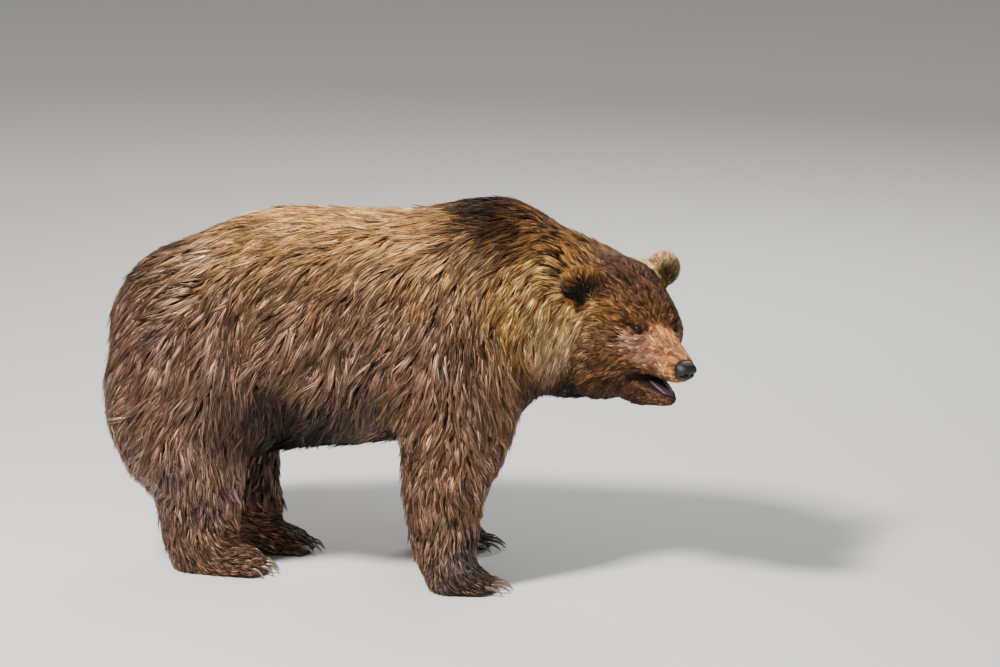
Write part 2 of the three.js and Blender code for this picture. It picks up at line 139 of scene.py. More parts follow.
# ------------------------------------------------------------------ the coat, region by region
# Each row: where it is, its reach, the way the hair lies, the hair's length, its colour. The first table is
# measured from the floor under the shoulder, the second in the head's frame. Both hold the left side, and the
# right side mirrors it.
BODY_COAT = [
    ((0.00, 0.04, 1.02), 0.10, (-1.0, 0.25, -0.35), 0.081, "hump"),
    ((-0.05, 0.18, 0.93), 0.07, (-0.6, 0.25, -0.8), 0.083, "withers"),
    ((0.05, 0.12, 0.96), 0.07, (-0.8, 0.3, -0.6), 0.073, "hump"),
    ((-0.02, 0.23, 0.84), 0.07, (-0.35, 0.2, -1.0), 0.083, "withers"),
    ((0.13, 0.08, 0.95), 0.07, (-0.9, 0.25, -0.5), 0.065, "nape"),
    ((-0.20, 0.05, 1.00), 0.10, (-1.0, 0.2, -0.15), 0.075, "back"),
    ((-0.40, 0.06, 0.99), 0.13, (-1.0, 0.2, -0.2), 0.073, "back"),
    ((-0.60, 0.06, 0.98), 0.11, (-1.0, 0.25, -0.3), 0.073, "back"),
    ((-0.78, 0.10, 0.925), 0.055, (-1.0, 0.3, -0.5), 0.078, "swirl"),
    ((-0.92, 0.08, 0.84), 0.10, (-1.0, 0.3, -0.7), 0.083, "croup"),
    ((-1.03, 0.08, 0.70), 0.10, (-0.45, 0.15, -1.0), 0.086, "rump"),
    ((-0.84, 0.16, 0.885), 0.05, (-1.0, 0.1, 0.30), 0.091, "swirl"),
    ((-0.94, 0.21, 0.73), 0.07, (-1.0, 0.1, -0.45), 0.086, "rump"),
    ((-0.18, 0.22, 0.88), 0.09, (-0.45, 0.2, -0.9), 0.083, "tan"),
    ((-0.36, 0.24, 0.86), 0.12, (-0.6, 0.2, -0.8), 0.083, "tan"),
    ((-0.58, 0.24, 0.84), 0.11, (-0.65, 0.2, -0.75), 0.083, "tan"),
    ((-0.25, 0.28, 0.74), 0.10, (-0.4, 0.1, -1.0), 0.088, "flank"),
    ((-0.45, 0.29, 0.70), 0.12, (-0.5, 0.0, -1.0), 0.091, "flank"),
    ((-0.66, 0.28, 0.70), 0.10, (-0.3, 0.0, -1.0), 0.091, "flank"),
    ((-0.40, 0.30, 0.65), 0.08, (-0.45, 0.0, -1.0), 0.096, "flank"),
    # The low flank and the belly are painted darker downwards, with belly_edge between: painted shade under the body
    # over the coat's own dark brown.
    ((-0.58, 0.28, 0.51), 0.12, (-0.35, 0.0, -1.0), 0.096, "low"),
    ((-0.50, 0.29, 0.54), 0.06, (-0.4, 0.0, -1.0), 0.098, "belly_edge"),
    ((-0.36, 0.29, 0.535), 0.06, (-0.4, 0.0, -1.0), 0.098, "belly_edge"),
    ((-0.42, 0.28, 0.47), 0.14, (-0.35, -0.05, -1.0), 0.099, "low"),
    ((-0.42, 0.05, 0.36), 0.14, (-0.8, 0.1, -0.6), 0.083, "low"),
    ((-0.05, 0.05, 0.43), 0.10, (-0.7, 0.0, -0.7), 0.070, "low"),
    ((-0.06, 0.28, 0.70), 0.10, (-0.2, 0.05, -1.0), 0.083, "shoulder"),
    # Painted shade in the shoulder's crease, over the leg's dark brown.
    ((-0.015, 0.26, 0.74), 0.045, (0.0, 0.0, -1.0), 0.078, "dark_brown_and_crease_shade"),
    ((0.05, 0.24, 0.73), 0.045, (0.05, 0.0, -1.0), 0.072, "gold"),
    ((0.05, 0.24, 0.63), 0.045, (0.1, 0.0, -1.0), 0.072, "tan"),
    ((0.12, 0.20, 0.60), 0.045, (0.15, 0.0, -1.0), 0.070, "dark_brown_and_crease_shade"),
    ((0.11, 0.08, 0.50), 0.09, (0.1, 0.0, -1.0), 0.070, "dark_brown_and_crease_shade"),
    ((0.20, 0.03, 0.93), 0.07, (-1.0, 0.2, -0.2), 0.051, "nape"),
    ((0.10, 0.20, 0.84), 0.07, (-0.5, 0.1, -0.85), 0.068, "gold"),
    ((0.125, 0.17, 0.86), 0.035, (-0.5, 0.1, -0.85), 0.055, "neck_spot"),
    ((0.17, 0.18, 0.76), 0.08, (-0.45, 0.1, -0.9), 0.065, "gold"),
    ((0.17, 0.18, 0.69), 0.06, (-0.35, 0.0, -0.95), 0.070, "ruff"),
    ((0.16, 0.17, 0.565), 0.065, (-0.30, 0.0, -0.95), 0.065, "throat_shadow"),
    ((0.22, 0.05, 0.51), 0.09, (-0.8, 0.0, -0.6), 0.065, "throat_shadow"),
    ((-0.13, 0.29, 0.56), 0.08, (-0.4, 0.0, -1.0), 0.078, "leg"),
    ((-0.03, 0.28, 0.54), 0.08, (0.25, 0.0, -1.0), 0.075, "leg"),
    ((0.05, 0.22, 0.50), 0.07, (0.5, 0.0, -1.0), 0.070, "leg"),
    ((-0.25, 0.22, 0.48), 0.07, (-0.7, 0.0, -0.85), 0.086, "leg"),
    ((-0.12, 0.28, 0.38), 0.08, (-0.15, 0.0, -1.0), 0.068, "leg"),
    ((-0.22, 0.20, 0.32), 0.08, (-0.75, 0.0, -0.9), 0.075, "leg"),
    ((-0.02, 0.22, 0.36), 0.07, (0.3, 0.0, -1.0), 0.060, "leg"),
    ((-0.11, 0.26, 0.22), 0.07, (-0.1, 0.0, -1.0), 0.046, "leg"),
    ((-0.20, 0.20, 0.18), 0.06, (-0.7, 0.0, -0.9), 0.065, "leg"),
    ((-0.07, 0.24, 0.13), 0.06, (0.2, 0.0, -1.0), 0.032, "wrist_grey_sheen"),
    ((-0.18, 0.20, 0.08), 0.05, (-0.4, 0.0, -1.0), 0.041, "leg"),
    ((-0.05, 0.22, 0.06), 0.06, (1.0, 0.0, -0.4), 0.025, "paw"),
    ((-0.80, 0.28, 0.62), 0.10, (-0.4, 0.0, -1.0), 0.088, "thigh"),
    ((-0.70, 0.26, 0.48), 0.09, (0.1, 0.0, -1.0), 0.086, "thigh"),
    ((-0.95, 0.24, 0.56), 0.10, (-0.8, 0.0, -0.9), 0.088, "rump"),
    ((-1.03, 0.12, 0.50), 0.10, (-0.6, 0.0, -1.0), 0.091, "rump"),
    ((-0.85, 0.03, 0.40), 0.08, (-0.3, 0.0, -1.0), 0.060, "low"),
    ((-0.70, 0.16, 0.28), 0.07, (0.3, 0.0, -1.0), 0.051, "hind_leg"),
    ((-0.80, 0.23, 0.34), 0.08, (-0.1, 0.0, -1.0), 0.070, "hind_leg"),
    ((-0.95, 0.14, 0.34), 0.08, (-0.8, 0.0, -0.9), 0.083, "thigh"),
    ((-0.92, 0.12, 0.20), 0.07, (-0.8, 0.0, -0.9), 0.073, "hind_leg"),
    ((-0.80, 0.20, 0.18), 0.07, (-0.1, 0.0, -1.0), 0.046, "hind_leg"),
    ((-0.84, 0.16, 0.09), 0.06, (0.3, 0.0, -1.0), 0.034, "leg"),
    ((-0.72, 0.14, 0.08), 0.07, (1.0, 0.0, -0.35), 0.032, "leg"),
    ((-0.64, 0.12, 0.05), 0.06, (1.0, 0.0, -0.30), 0.023, "paw"),
]
HEAD_COAT = [
    ((-0.02, 0.04, 0.17), 0.050, (-1.0, 0.15, 0.05), 0.028, "crown"),
    ((-0.11, 0.05, 0.15), 0.055, (-1.0, 0.1, -0.1), 0.046, "nape"),
    ((0.05, 0.04, 0.15), 0.038, (-0.85, 0.25, 0.5), 0.025, "crown"),
    ((0.09, 0.03, 0.13), 0.030, (-0.8, 0.35, 0.6), 0.024, "forehead"),
    ((0.09, 0.08, 0.115), 0.030, (-0.85, 0.4, 0.25), 0.025, "forehead"),
    ((0.125, 0.055, 0.098), 0.022, (-0.6, 0.7, 0.5), 0.020, "forehead"),
    ((0.155, 0.03, 0.088), 0.018, (-0.8, 0.5, 0.5), 0.013, "face"),
    ((0.12, 0.09, 0.075), 0.024, (-0.9, 0.45, 0.15), 0.019, "temple"),
    ((0.05, 0.115, 0.07), 0.040, (-0.9, 0.3, -0.1), 0.030, "temple"),
    ((0.19, 0.01, 0.065), 0.030, (-1.0, 0.15, 0.3), 0.012, "muzzle"),
    ((0.24, 0.03, 0.03), 0.030, (-1.0, 0.1, -0.1), 0.009, "muzzle"),
    ((0.21, 0.050, 0.01), 0.026, (-1.0, 0.1, -0.25), 0.012, "under_eye"),
    ((0.23, 0.050, -0.03), 0.026, (-1.0, 0.1, -0.35), 0.012, "face"),
    ((0.155, 0.075, 0.035), 0.024, (-0.9, 0.3, -0.5), 0.016, "under_eye"),
    ((0.105, 0.11, 0.02), 0.036, (-0.8, 0.3, -0.6), 0.028, "cheek_low"),
    ((0.13, 0.085, -0.04), 0.034, (-0.8, 0.2, -0.6), 0.025, "face"),
    ((0.02, 0.15, -0.01), 0.045, (-0.65, 0.2, -0.8), 0.046, "cheek"),
    ((-0.07, 0.16, -0.02), 0.050, (-0.7, 0.1, -0.75), 0.051, "cheek"),
    ((0.05, 0.13, -0.08), 0.045, (-0.55, 0.1, -0.9), 0.048, "cheek_low"),
    ((0.02, 0.12, -0.15), 0.050, (-0.45, 0.0, -0.95), 0.060, "throat_shadow"),
    ((-0.08, 0.14, 0.09), 0.040, (-0.9, 0.1, -0.45), 0.046, "nape"),
    ((0.16, 0.05, -0.12), 0.040, (-0.6, 0.0, -0.8), 0.028, "jaw"),
    ((0.26, 0.01, -0.105), 0.030, (-0.8, 0.0, -0.5), 0.011, "jaw"),
    ((0.06, 0.0, -0.20), 0.050, (-0.75, 0.0, -0.65), 0.048, "throat_shadow"),
]
HAIR_DEPTH = 0.16  # the coat's thickness over the skin, as a share of the hair's length
# Folds of the body, on both sides: two ends of each, its radius and its depth, from the floor under the shoulder.
BODY_FOLDS = [
    ((-0.70, 0.28, 0.78), (-0.62, 0.25, 0.46), 0.022, 0.016),
    ((-0.58, 0.26, 0.50), (-0.57, 0.20, 0.40), 0.032, 0.030),
    ((-0.27, 0.27, 0.62), (-0.28, 0.20, 0.44), 0.026, 0.022),
    ((0.02, 0.24, 0.90), (0.03, 0.26, 0.74), 0.020, 0.014),
    ((0.03, 0.26, 0.74), (0.11, 0.20, 0.54), 0.024, 0.020),
    ((-0.80, 0.22, 0.82), (-0.76, 0.25, 0.72), 0.035, 0.014),
    ((-0.45, 0.30, 0.80), (-0.40, 0.30, 0.52), 0.030, 0.007),
]
# Folds of the face: centre in the head's frame, radii, and how far the skin stands out.
FACE_FOLDS = [
    ((0.126, 0.054, 0.098), (0.026, 0.024, 0.012), 0.0115),  # brow
    ((0.112, 0.026, 0.120), (0.028, 0.020, 0.014), 0.0040),  # forehead's lower edge
    ((0.090, 0.075, 0.118), (0.028, 0.026, 0.020), 0.0060),  # forehead's side
    ((0.168, 0.000, 0.084), (0.022, 0.026, 0.014), -0.0085),  # dip where the muzzle starts
    ((0.170, 0.047, 0.062), (0.016, 0.010, 0.011), -0.0060),  # inner corner of the eye
    ((0.085, 0.118, 0.015), (0.045, 0.030, 0.028), 0.0060),  # cheekbone
    ((0.100, 0.000, 0.130), (0.045, 0.010, 0.030), -0.0040),  # furrow of the forehead
    ((0.245, 0.036, -0.014), (0.026, 0.014, 0.014), 0.0040),  # whisker pad
    ((0.285, 0.000, -0.026), (0.012, 0.003, 0.016), -0.0030),  # groove under the nose
    ((0.165, 0.062, -0.050), (0.026, 0.014, 0.012), -0.0040),  # corner of the mouth
    ((0.070, 0.085, 0.105), (0.028, 0.020, 0.016), -0.0030),  # temple
]


def coat_rows():
    """Both tables in the row frame, on both sides: places, reaches, lays, lengths and colours."""
    rows = []
    for side in (1, -1):
        flip = np.array([1, side, 1])
        for at, reach, lay, length, colour in BODY_COAT:
            tone = PALETTE[colour]
            if side > 0 and colour == "gold":
                tone = 0.45 * tone + 0.55 * PALETTE["withers"]
            rows.append((SHOULDER + np.array(at) * flip, reach, np.array(lay) * flip, length, tone))
        for at, reach, lay, length, colour in HEAD_COAT:
            place = from_head(np.array(at) * flip)
            rows.append((place, reach, HEAD_TURN @ (np.array(lay) * flip), length, PALETTE[colour]))
    return [np.array(column) for column in zip(*rows)]


ROW_AT, ROW_REACH, ROW_LAY, ROW_LENGTH, ROW_COLOUR = coat_rows()
ROW_LAY = ROW_LAY / np.linalg.norm(ROW_LAY, axis=1, keepdims=True)


def unit(vectors):
    return vectors / np.maximum(np.linalg.norm(vectors, axis=-1, keepdims=True), 1e-9)


def smooth(values, low, high):
    """0 below low, 1 above high, and a soft step between."""
    share = np.clip((values - low) / (high - low), 0, 1)
    return share * share * (3 - 2 * share)


def waves(points, scale, seed):
    """A smooth field of about -1 to 1 that changes over `scale` metres."""
    dice = np.random.default_rng(seed)
    total = np.zeros(len(points))
    for _ in range(5):
        way = dice.normal(size=3)
        way *= dice.uniform(0.7, 1.5) * 2 * math.pi / scale / np.linalg.norm(way)
        total += np.sin(points @ way + dice.uniform(0, 6.28))
    return total / 2.6


def ear_spin(side, sign):
    return np.array(
        Matrix.Rotation(math.radians(sign * EAR_TURN[side]), 3, "Z")
        @ Matrix.Rotation(math.radians(-14), 3, "Y")
        @ Matrix.Rotation(math.radians(-sign * 16), 3, "X")
    )


def ear_field(points):
    """How far each point lies inside an ear (0 to 1), its way out to the rim, its place in the ear, and which."""
    local = to_head(points)
    inside = np.zeros(len(points))
    outward = np.zeros((len(points), 3))
    place = np.zeros((len(points), 3))
    left = np.zeros(len(points), bool)
    for side, sign in (("left", 1), ("right", -1)):
        spin = ear_spin(side, sign)
        disc = (local - EAR_AT * [1, sign, 1]) @ spin
        size = np.linalg.norm(disc / (EAR_SIZE + 0.004), axis=1)
        near = np.clip((1.15 - size) / 0.15, 0, 1)
        way = unit(disc * [0, 1, 1]) * 0.55 + np.array([0, 0, 1.0])
        mask = near > inside
        inside[mask] = near[mask]
        outward[mask] = (way @ spin.T @ HEAD_TURN.T)[mask]
        place[mask] = disc[mask]
        left[mask] = sign > 0
    return inside, outward, place, left


def dryness(points):
    """0 where the coat is wet, on the flanks and legs, to 1 where it has dried, on the back, neck and head."""
    low = points - SHOULDER
    return np.maximum(smooth(low[:, 2], 0.80, 0.94), smooth(low[:, 0], 0.0, 0.10) * smooth(low[:, 2], 0.5, 0.6))


def coat_at(points, normals):
    """Lay, length and colour of the coat at each point of the skin."""
    lay = np.empty((len(points), 3))
    length = np.empty(len(points))
    colour = np.empty((len(points), 3))
    wander = np.stack([waves(points, 0.16, 21 + k) for k in range(3)], 1) * 0.018
    moved = points + wander * smooth(points[:, 2], 0.1, 0.4)[:, None]
    for start in range(0, len(points), 20000):
        part = slice(start, start + 20000)
        gap = ((moved[part, None, :] - ROW_AT[None]) ** 2).sum(2) / (2 * (0.72 * ROW_REACH) ** 2)
        weight = np.exp(gap.min(1, keepdims=True) - gap)
        weight /= weight.sum(1, keepdims=True)
        lay[part] = weight @ ROW_LAY
        length[part] = weight @ ROW_LENGTH
        colour[part] = weight @ ROW_COLOUR
    for sign in (1, -1):
        centre, along, up, out = EYE_FRAMES[sign]
        gap = points - centre
        flat = gap - (gap @ out)[:, None] * out
        near = np.exp(-((np.linalg.norm(gap, axis=1) / 0.021) ** 2))[:, None]
        lay = lay * (1 - near) + (unit(flat) - 0.5 * along) * near
        length = length * (1 - near[:, 0]) + 0.007 * near[:, 0]
        band = np.hypot((gap @ along + 0.003) / 0.030, (gap @ up + 0.001) / 0.0105)
        dark = np.exp(-(band**2))[:, None] * (np.linalg.norm(gap, axis=1) < 0.05)[:, None]
        colour = colour * (1 - 0.88 * dark)
    inside, outward, place, left = ear_field(points)
    facing = normals @ (HEAD_TURN @ np.array([1.0, 0, 0]))
    hollow = inside * smooth(facing, 0.0, 0.5)
    lay = lay * (1 - inside)[:, None] + outward * inside[:, None]
    length = length * (1 - inside) + (0.018 + 0.007 * hollow + 0.005 * left) * inside
    # Painted light on the far ear: its rim tone is paler than the near ear's. Each rim is also painted darker towards
    # its bottom and on its back.
    rim = np.where(left[:, None], PALETTE["far_ear_rim_pale_and_lit"], PALETTE["ear_rim"])
    rim = rim * (0.62 + 0.38 * smooth(place[:, 2], -0.02, 0.05))[:, None] * (1 - 0.3 * smooth(-facing, 0, 1))[:, None]
    colour = colour * (1 - inside)[:, None] + rim * inside[:, None]
    # Painted shade in each ear: darker towards the hollow, and near black low in the opening, with less of both on the
    # far ear, which is painted as lit.
    inner = (hollow * smooth(0.024 - place[:, 0], 0, 0.014))[:, None]
    colour = colour * (1 - np.where(left, 0.15, 0.45)[:, None] * inner)
    low = 1 - smooth(place[:, 2], -0.030, 0.022)
    hollow_shade = (hollow * low * smooth(0.020 - place[:, 0], 0, 0.012))[:, None]
    hollow_shade = hollow_shade * np.where(left, 0.6, 1.0)[:, None]
    colour = colour * (1 - hollow_shade) + PALETTE["ear_hollow_shade"] * hollow_shade
    # On the rear of the legs the hair hangs straight down, or the two sides' hair would cross there.
    behind = smooth(-normals[:, 0], 0.3, 0.8) * (1 - smooth(points[:, 2], 0.44, 0.56))
    lay[:, :2] *= (1 - 0.88 * behind)[:, None]
    lay = lay - normals * (lay * normals).sum(1, keepdims=True)
    return unit(lay), length, colour


# ------------------------------------------------------------------ the eyes' own frames
def eye_frame(sign):
    """The middle of an eye, and its axes: along the opening towards the nose, up the lids, and out."""
    centre = from_head((EYE_AT * [1, sign, 1])[None])[0]
    out = HEAD_TURN @ unit(np.array([0.58, sign * 0.76, 0.24]))
    along = HEAD_TURN @ np.array([0.80, -sign * 0.52, -0.22])
    along = unit(along - out * (along @ out))
    up = np.cross(out, along) * (1 if sign > 0 else -1)
    return centre, along, up, out


EYE_FRAMES = {1: eye_frame(1), -1: eye_frame(-1)}

# ------------------------------------------------------------------ the skin
FLESH = ["trunk", "neck", "head", "jaw", "tail", "ear_left", "ear_right"]
for side in ("left", "right"):
    FLESH += [f"{name}_{side}" for name in ("upper_arm", "forearm", "fore_paw", "thigh", "shank", "hind_paw")]
SKIN_GRID = 0.0088  # spacing of the skin's points
OVERLAP = 0.0007  # the solids are fattened by this, so that the cuts between them close


def welded(name):
    """A CAD node's merged vertices and triangles."""
    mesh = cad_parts[name].data
    places = np.empty(len(mesh.vertices) * 3, np.float32)
    mesh.vertices.foreach_get("co", places)
    corners = np.empty(len(mesh.loops), np.int32)
    mesh.loops.foreach_get("vertex_index", corners)
    keys = np.round(places.reshape(-1, 3) * 1e5).astype(np.int64)
    _, first, index = np.unique(keys, axis=0, return_index=True, return_inverse=True)
    return places.reshape(-1, 3)[first].astype(float), index.reshape(-1)[corners].reshape(-1, 3)


def vertex_normals(places, triangles):
    a, b, c = (places[triangles[:, k]] for k in range(3))
    cross = np.cross(b - a, c - a)
    total = np.zeros_like(places)
    for k in range(3):
        for axis in range(3):
            total[:, axis] += np.bincount(triangles[:, k], cross[:, axis], len(places))
    return unit(total)


def new_mesh(name, places, faces):
    """A mesh object from places and same-sized faces."""
    mesh = bpy.data.meshes.new(name)
    places = np.asarray(places, np.float32)
    faces = np.asarray(faces, np.int32)
    size = faces.shape[1]
    mesh.vertices.add(len(places))
    mesh.vertices.foreach_set("co", places.ravel())
    mesh.loops.add(faces.size)
    mesh.loops.foreach_set("vertex_index", faces.ravel())
    mesh.polygons.add(len(faces))
    mesh.polygons.foreach_set("loop_start", np.arange(0, faces.size, size, dtype=np.int32))
    mesh.polygons.foreach_set("use_smooth", np.ones(len(faces), bool))
    mesh.update(calc_edges=True)
    piece = bpy.data.objects.new(name, mesh)
    bpy.context.scene.collection.objects.link(piece)
    return piece


def paint(piece, tones, roughness=None):
    """Stores a colour, and in its alpha a roughness, for each vertex of a piece, as its attribute `coat`."""
    alpha = np.ones(len(tones)) if roughness is None else roughness
    rows = np.concatenate([np.clip(tones, 0, 1), alpha[:, None]], 1)
    layer = piece.data.attributes.new("coat", "FLOAT_COLOR", "POINT")
    layer.data.foreach_set("color", rows.astype(np.float32).ravel())


def applied(piece):
    """The piece with its modifiers applied."""
    evaluated = piece.evaluated_get(bpy.context.evaluated_depsgraph_get())
    mesh = bpy.data.meshes.new_from_object(evaluated)
    piece.modifiers.clear()
    piece.data = mesh
    return piece


def mesh_places(mesh):
    places = np.empty(len(mesh.vertices) * 3, np.float32)
    mesh.vertices.foreach_get("co", places)
    return places.reshape(-1, 3).astype(float)


def mesh_normals(mesh):
    normals = np.empty(len(mesh.vertices) * 3, np.float32)
    mesh.vertices.foreach_get("normal", normals)
    return normals.reshape(-1, 3).astype(float)


def move_mesh(mesh, places):
    mesh.vertices.foreach_set("co", places.astype(np.float32).ravel())
    mesh.update()


def relaxed(mesh, places, rounds, share):
    """Each point moves towards the mean of its neighbours by `share` of the way, which may vary."""
    edges = np.empty(len(mesh.edges) * 2, np.int32)
    mesh.edges.foreach_get("vertices", edges)
    edges = edges.reshape(-1, 2)
    count = len(places)
    links = np.maximum(np.bincount(edges.ravel(), minlength=count), 1)[:, None]
    share = np.broadcast_to(share, (count,))[:, None]
    for _ in range(rounds):
        mean = np.empty_like(places)
        for axis in range(3):
            values = places[:, axis]
            mean[:, axis] = np.bincount(edges[:, 0], values[edges[:, 1]], count)
            mean[:, axis] += np.bincount(edges[:, 1], values[edges[:, 0]], count)
        places = places + (mean / links - places) * share
    return places


def bump_at(local, centre, radius):
    """1 at the centre, fading over the radius; mirrored to both sides of the head."""
    folded = local * [1, 0, 1] + np.abs(local * [0, 1, 0])
    gap = ((folded - np.asarray(centre)) / radius) ** 2
    return np.exp(-gap.sum(1) / 2)


def body_dents(places):
    """How far the folds of the body press the skin in."""
    low = places - SHOULDER
    low = np.stack([low[:, 0], np.abs(low[:, 1]), low[:, 2]], 1)
    depth = np.zeros(len(places))
    for start, end, radius, most in BODY_FOLDS:
        start, end = np.array(start), np.array(end)
        way = end - start
        share = np.clip((low - start) @ way / (way @ way), 0, 1)
        gap = np.linalg.norm(low - start - share[:, None] * way, axis=1)
        depth += most * np.exp(-((gap / radius) ** 2) / 2)
    return depth


def mouth_lines(x):
    """Heights of the palate and of the lower jaw's floor along the mouth, in the head's frame."""
    palate = np.interp(x, [0.12, 0.165, 0.205, 0.248, 0.30], [-0.062, -0.060, -0.054, -0.046, -0.034])
    floor = -0.043 - (x - JAW_HINGE[0]) * math.tan(MOUTH_OPEN)
    return palate, floor


def mouth_share(local, normals):
    """How far a point belongs to the mouth's bare lining."""
    palate, floor = mouth_lines(local[:, 0])
    up = (normals @ HEAD_TURN)[:, 2]
    x = local[:, 0]
    within = (x > 0.13) & (np.abs(local[:, 1]) < 0.052)
    above = np.clip((0.012 - np.abs(local[:, 2] - palate)) / 0.006, 0, 1) * np.clip(-up * 2.2 - 0.4, 0, 1)
    below = np.clip((0.012 - np.abs(local[:, 2] - floor)) / 0.006, 0, 1) * np.clip(up * 2.2 - 0.4, 0, 1)
    return np.where(within, np.maximum(above, below), 0)


def lip_share(local):
    """How far a point belongs to the dark lips that edge the mouth."""
    palate, floor = mouth_lines(local[:, 0])
    gap = np.minimum(np.abs(local[:, 2] - palate - 0.001), np.abs(local[:, 2] - floor + 0.001))
    between = (local[:, 2] < palate) & (local[:, 2] > floor)
    near = np.where(between, 0, gap)
    within = smooth(local[:, 0], 0.145, 0.165) * (np.abs(local[:, 1]) < 0.070)
    return (1 - smooth(near, 0.0030, 0.0060)) * within


def refine(mesh, chosen_at):
    """One more level of faces where `chosen_at` says so."""
    shape = bmesh.new()
    shape.from_mesh(mesh)
    centres = np.array([face.calc_center_median() for face in shape.faces])
    chosen = chosen_at(to_head(centres))
    shape.faces.ensure_lookup_table()
    edges = {edge for index in np.flatnonzero(chosen) for edge in shape.faces[index].edges}
    bmesh.ops.subdivide_edges(shape, edges=sorted(edges, key=lambda e: e.index), cuts=1, use_grid_fill=True)
    shape.to_mesh(mesh)
    shape.free()
    mesh.polygons.foreach_set("use_smooth", np.ones(len(mesh.polygons), bool))
    mesh.update()


def face_area(local):
    return (local[:, 0] > 0.05) & (np.abs(local[:, 1]) < 0.17) & (np.abs(local[:, 2]) < 0.21)


def eye_area(local):
    return np.linalg.norm(local * [1, 0, 1] + np.abs(local * [0, 1, 0]) - EYE_AT, axis=1) < 0.042


def eye_opening(angles):
    """The edge of the opening between the lids: along the opening, and up."""
    x = np.cos(angles) * np.where(np.cos(angles) > 0, 0.0142, 0.0122)
    y = np.sin(angles) * np.abs(np.sin(angles)) ** 0.35 * np.where(np.sin(angles) > 0, 0.0062, 0.0058)
    return x, y - 0.0006 - 0.06 * x


def lid_height(x, y):
    """How far the lids stand out from the eyeball's middle."""
    ball = np.sqrt(np.maximum((EYE_RADIUS + 0.0008) ** 2 - x**2 - y**2, 0))
    return np.maximum(ball, 0.0048)


def shape_round_eyes(places):
    """The skin comes up over each eyeball as its lids, with a brow above and a bag below."""
    for sign in (1, -1):
        centre, along, up, out = EYE_FRAMES[sign]
        gap = places - centre
        height = gap @ out
        x, y = gap @ along, gap @ up
        across = np.hypot(x, y)
        wide, high = eye_opening(np.arctan2(y / 0.45, x))
        open_to = across / np.maximum(np.hypot(wide, high), 1e-6)
        over = smooth(open_to, 0.95, 1.12)
        rest = 0.0042 + 0.0050 * smooth(y, 0.004, 0.016) + 0.0012 * smooth(-y, 0.004, 0.012)
        rest -= 0.0030 * smooth(np.abs(x), 0.012, 0.022)
        lid = np.sqrt(np.maximum((EYE_RADIUS + 0.0005) ** 2 - across**2, 0))
        target = np.maximum(rest, lid) - (1 - over) * 0.0045
        weight = (1 - smooth(across, 0.0150, 0.032)) * (np.abs(height) < 0.03)
        places = places + out * ((target - height) * weight)[:, None]
    return places


def make_skin():
    places, faces, count = [], [], 0
    for name in FLESH:
        corners, triangles = welded(name)
        corners = corners + vertex_normals(corners, triangles) * OVERLAP
        places.append(corners)
        faces.append(triangles + count)
        count += len(corners)
    skin = new_mesh("skin", np.concatenate(places), np.concatenate(faces))
    remesh = skin.modifiers.new("remesh", "REMESH")
    remesh.mode = "VOXEL"
    remesh.voxel_size = SKIN_GRID
    applied(skin)
    mesh = skin.data
    places = mesh_places(mesh)
    local = to_head(places)
    in_face = smooth(local[:, 0], -0.02, 0.08) * smooth(local[:, 2], -0.3, -0.25)
    small = np.maximum(in_face, ear_field(places)[0])
    small = np.maximum(small, 1 - smooth(places[:, 2], 0.08, 0.16))
    places = relaxed(mesh, places, 30, 0.5 * (1 - small))
    places = relaxed(mesh, places, 6, 0.5 * small + 0.05)
    move_mesh(mesh, places)
    refine(mesh, face_area)
    move_mesh(mesh, relaxed(mesh, mesh_places(mesh), 3, 0.5 * face_area(to_head(mesh_places(mesh)))))
    refine(mesh, eye_area)
    places = mesh_places(mesh)
    normals = mesh_normals(mesh)
    _, length, _ = coat_at(places, normals)
    sunk = np.clip(HAIR_DEPTH * length, 0.0015, 0.02)
    ears = ear_field(places)[0]
    sunk = sunk * (1 - ears) + 0.0045 * ears
    sunk = 0.0015 + (sunk - 0.0015) * smooth(places[:, 2], 0.0, 0.04)
    local = to_head(places)
    push = np.zeros(len(places))
    for centre, radii, height in FACE_FOLDS:
        push += height * bump_at(local, np.array(centre), np.array(radii))
    push *= local[:, 0] > 0
    push -= body_dents(places)
    sunk *= 1 - 0.8 * mouth_share(local, normals)
    places = places + normals * (push - sunk)[:, None]
    places = relaxed(mesh, places, 2, 0.4)
    places = shape_round_eyes(places)
    places = relaxed(mesh, places, 2, 0.3 * eye_area(to_head(places)))
    places[:, 2] = np.maximum(places[:, 2], 0.0008)
    move_mesh(mesh, places)
    return skin


skin = make_skin()
print("skin", sum(len(face.vertices) - 2 for face in skin.data.polygons))


def unwrap(piece):
    """Unwraps a piece by the directions that its own faces point, into the map OFBake."""
    piece.data.uv_layers.new(name="OFBake")
    bpy.context.view_layer.objects.active = piece
    for other in bpy.context.selected_objects:
        other.select_set(False)
    piece.select_set(True)
    bpy.ops.object.mode_set(mode="EDIT")
    bpy.ops.mesh.select_all(action="SELECT")
    bpy.ops.uv.smart_project(angle_limit=math.radians(66), island_margin=0.002)
    bpy.ops.object.mode_set(mode="OBJECT")


unwrap(skin)


# ------------------------------------------------------------------ finishes
def add_node(tree, kind, inputs=None, **settings):
    """A node with its settings, and its inputs set or linked by name."""
    node = tree.nodes.new(kind)
    for key, value in settings.items():
        setattr(node, key, value)
    for key, value in (inputs or {}).items():
        if isinstance(value, bpy.types.NodeSocket):
            tree.links.new(value, node.inputs[key])
        else:
            node.inputs[key].default_value = value
    return node


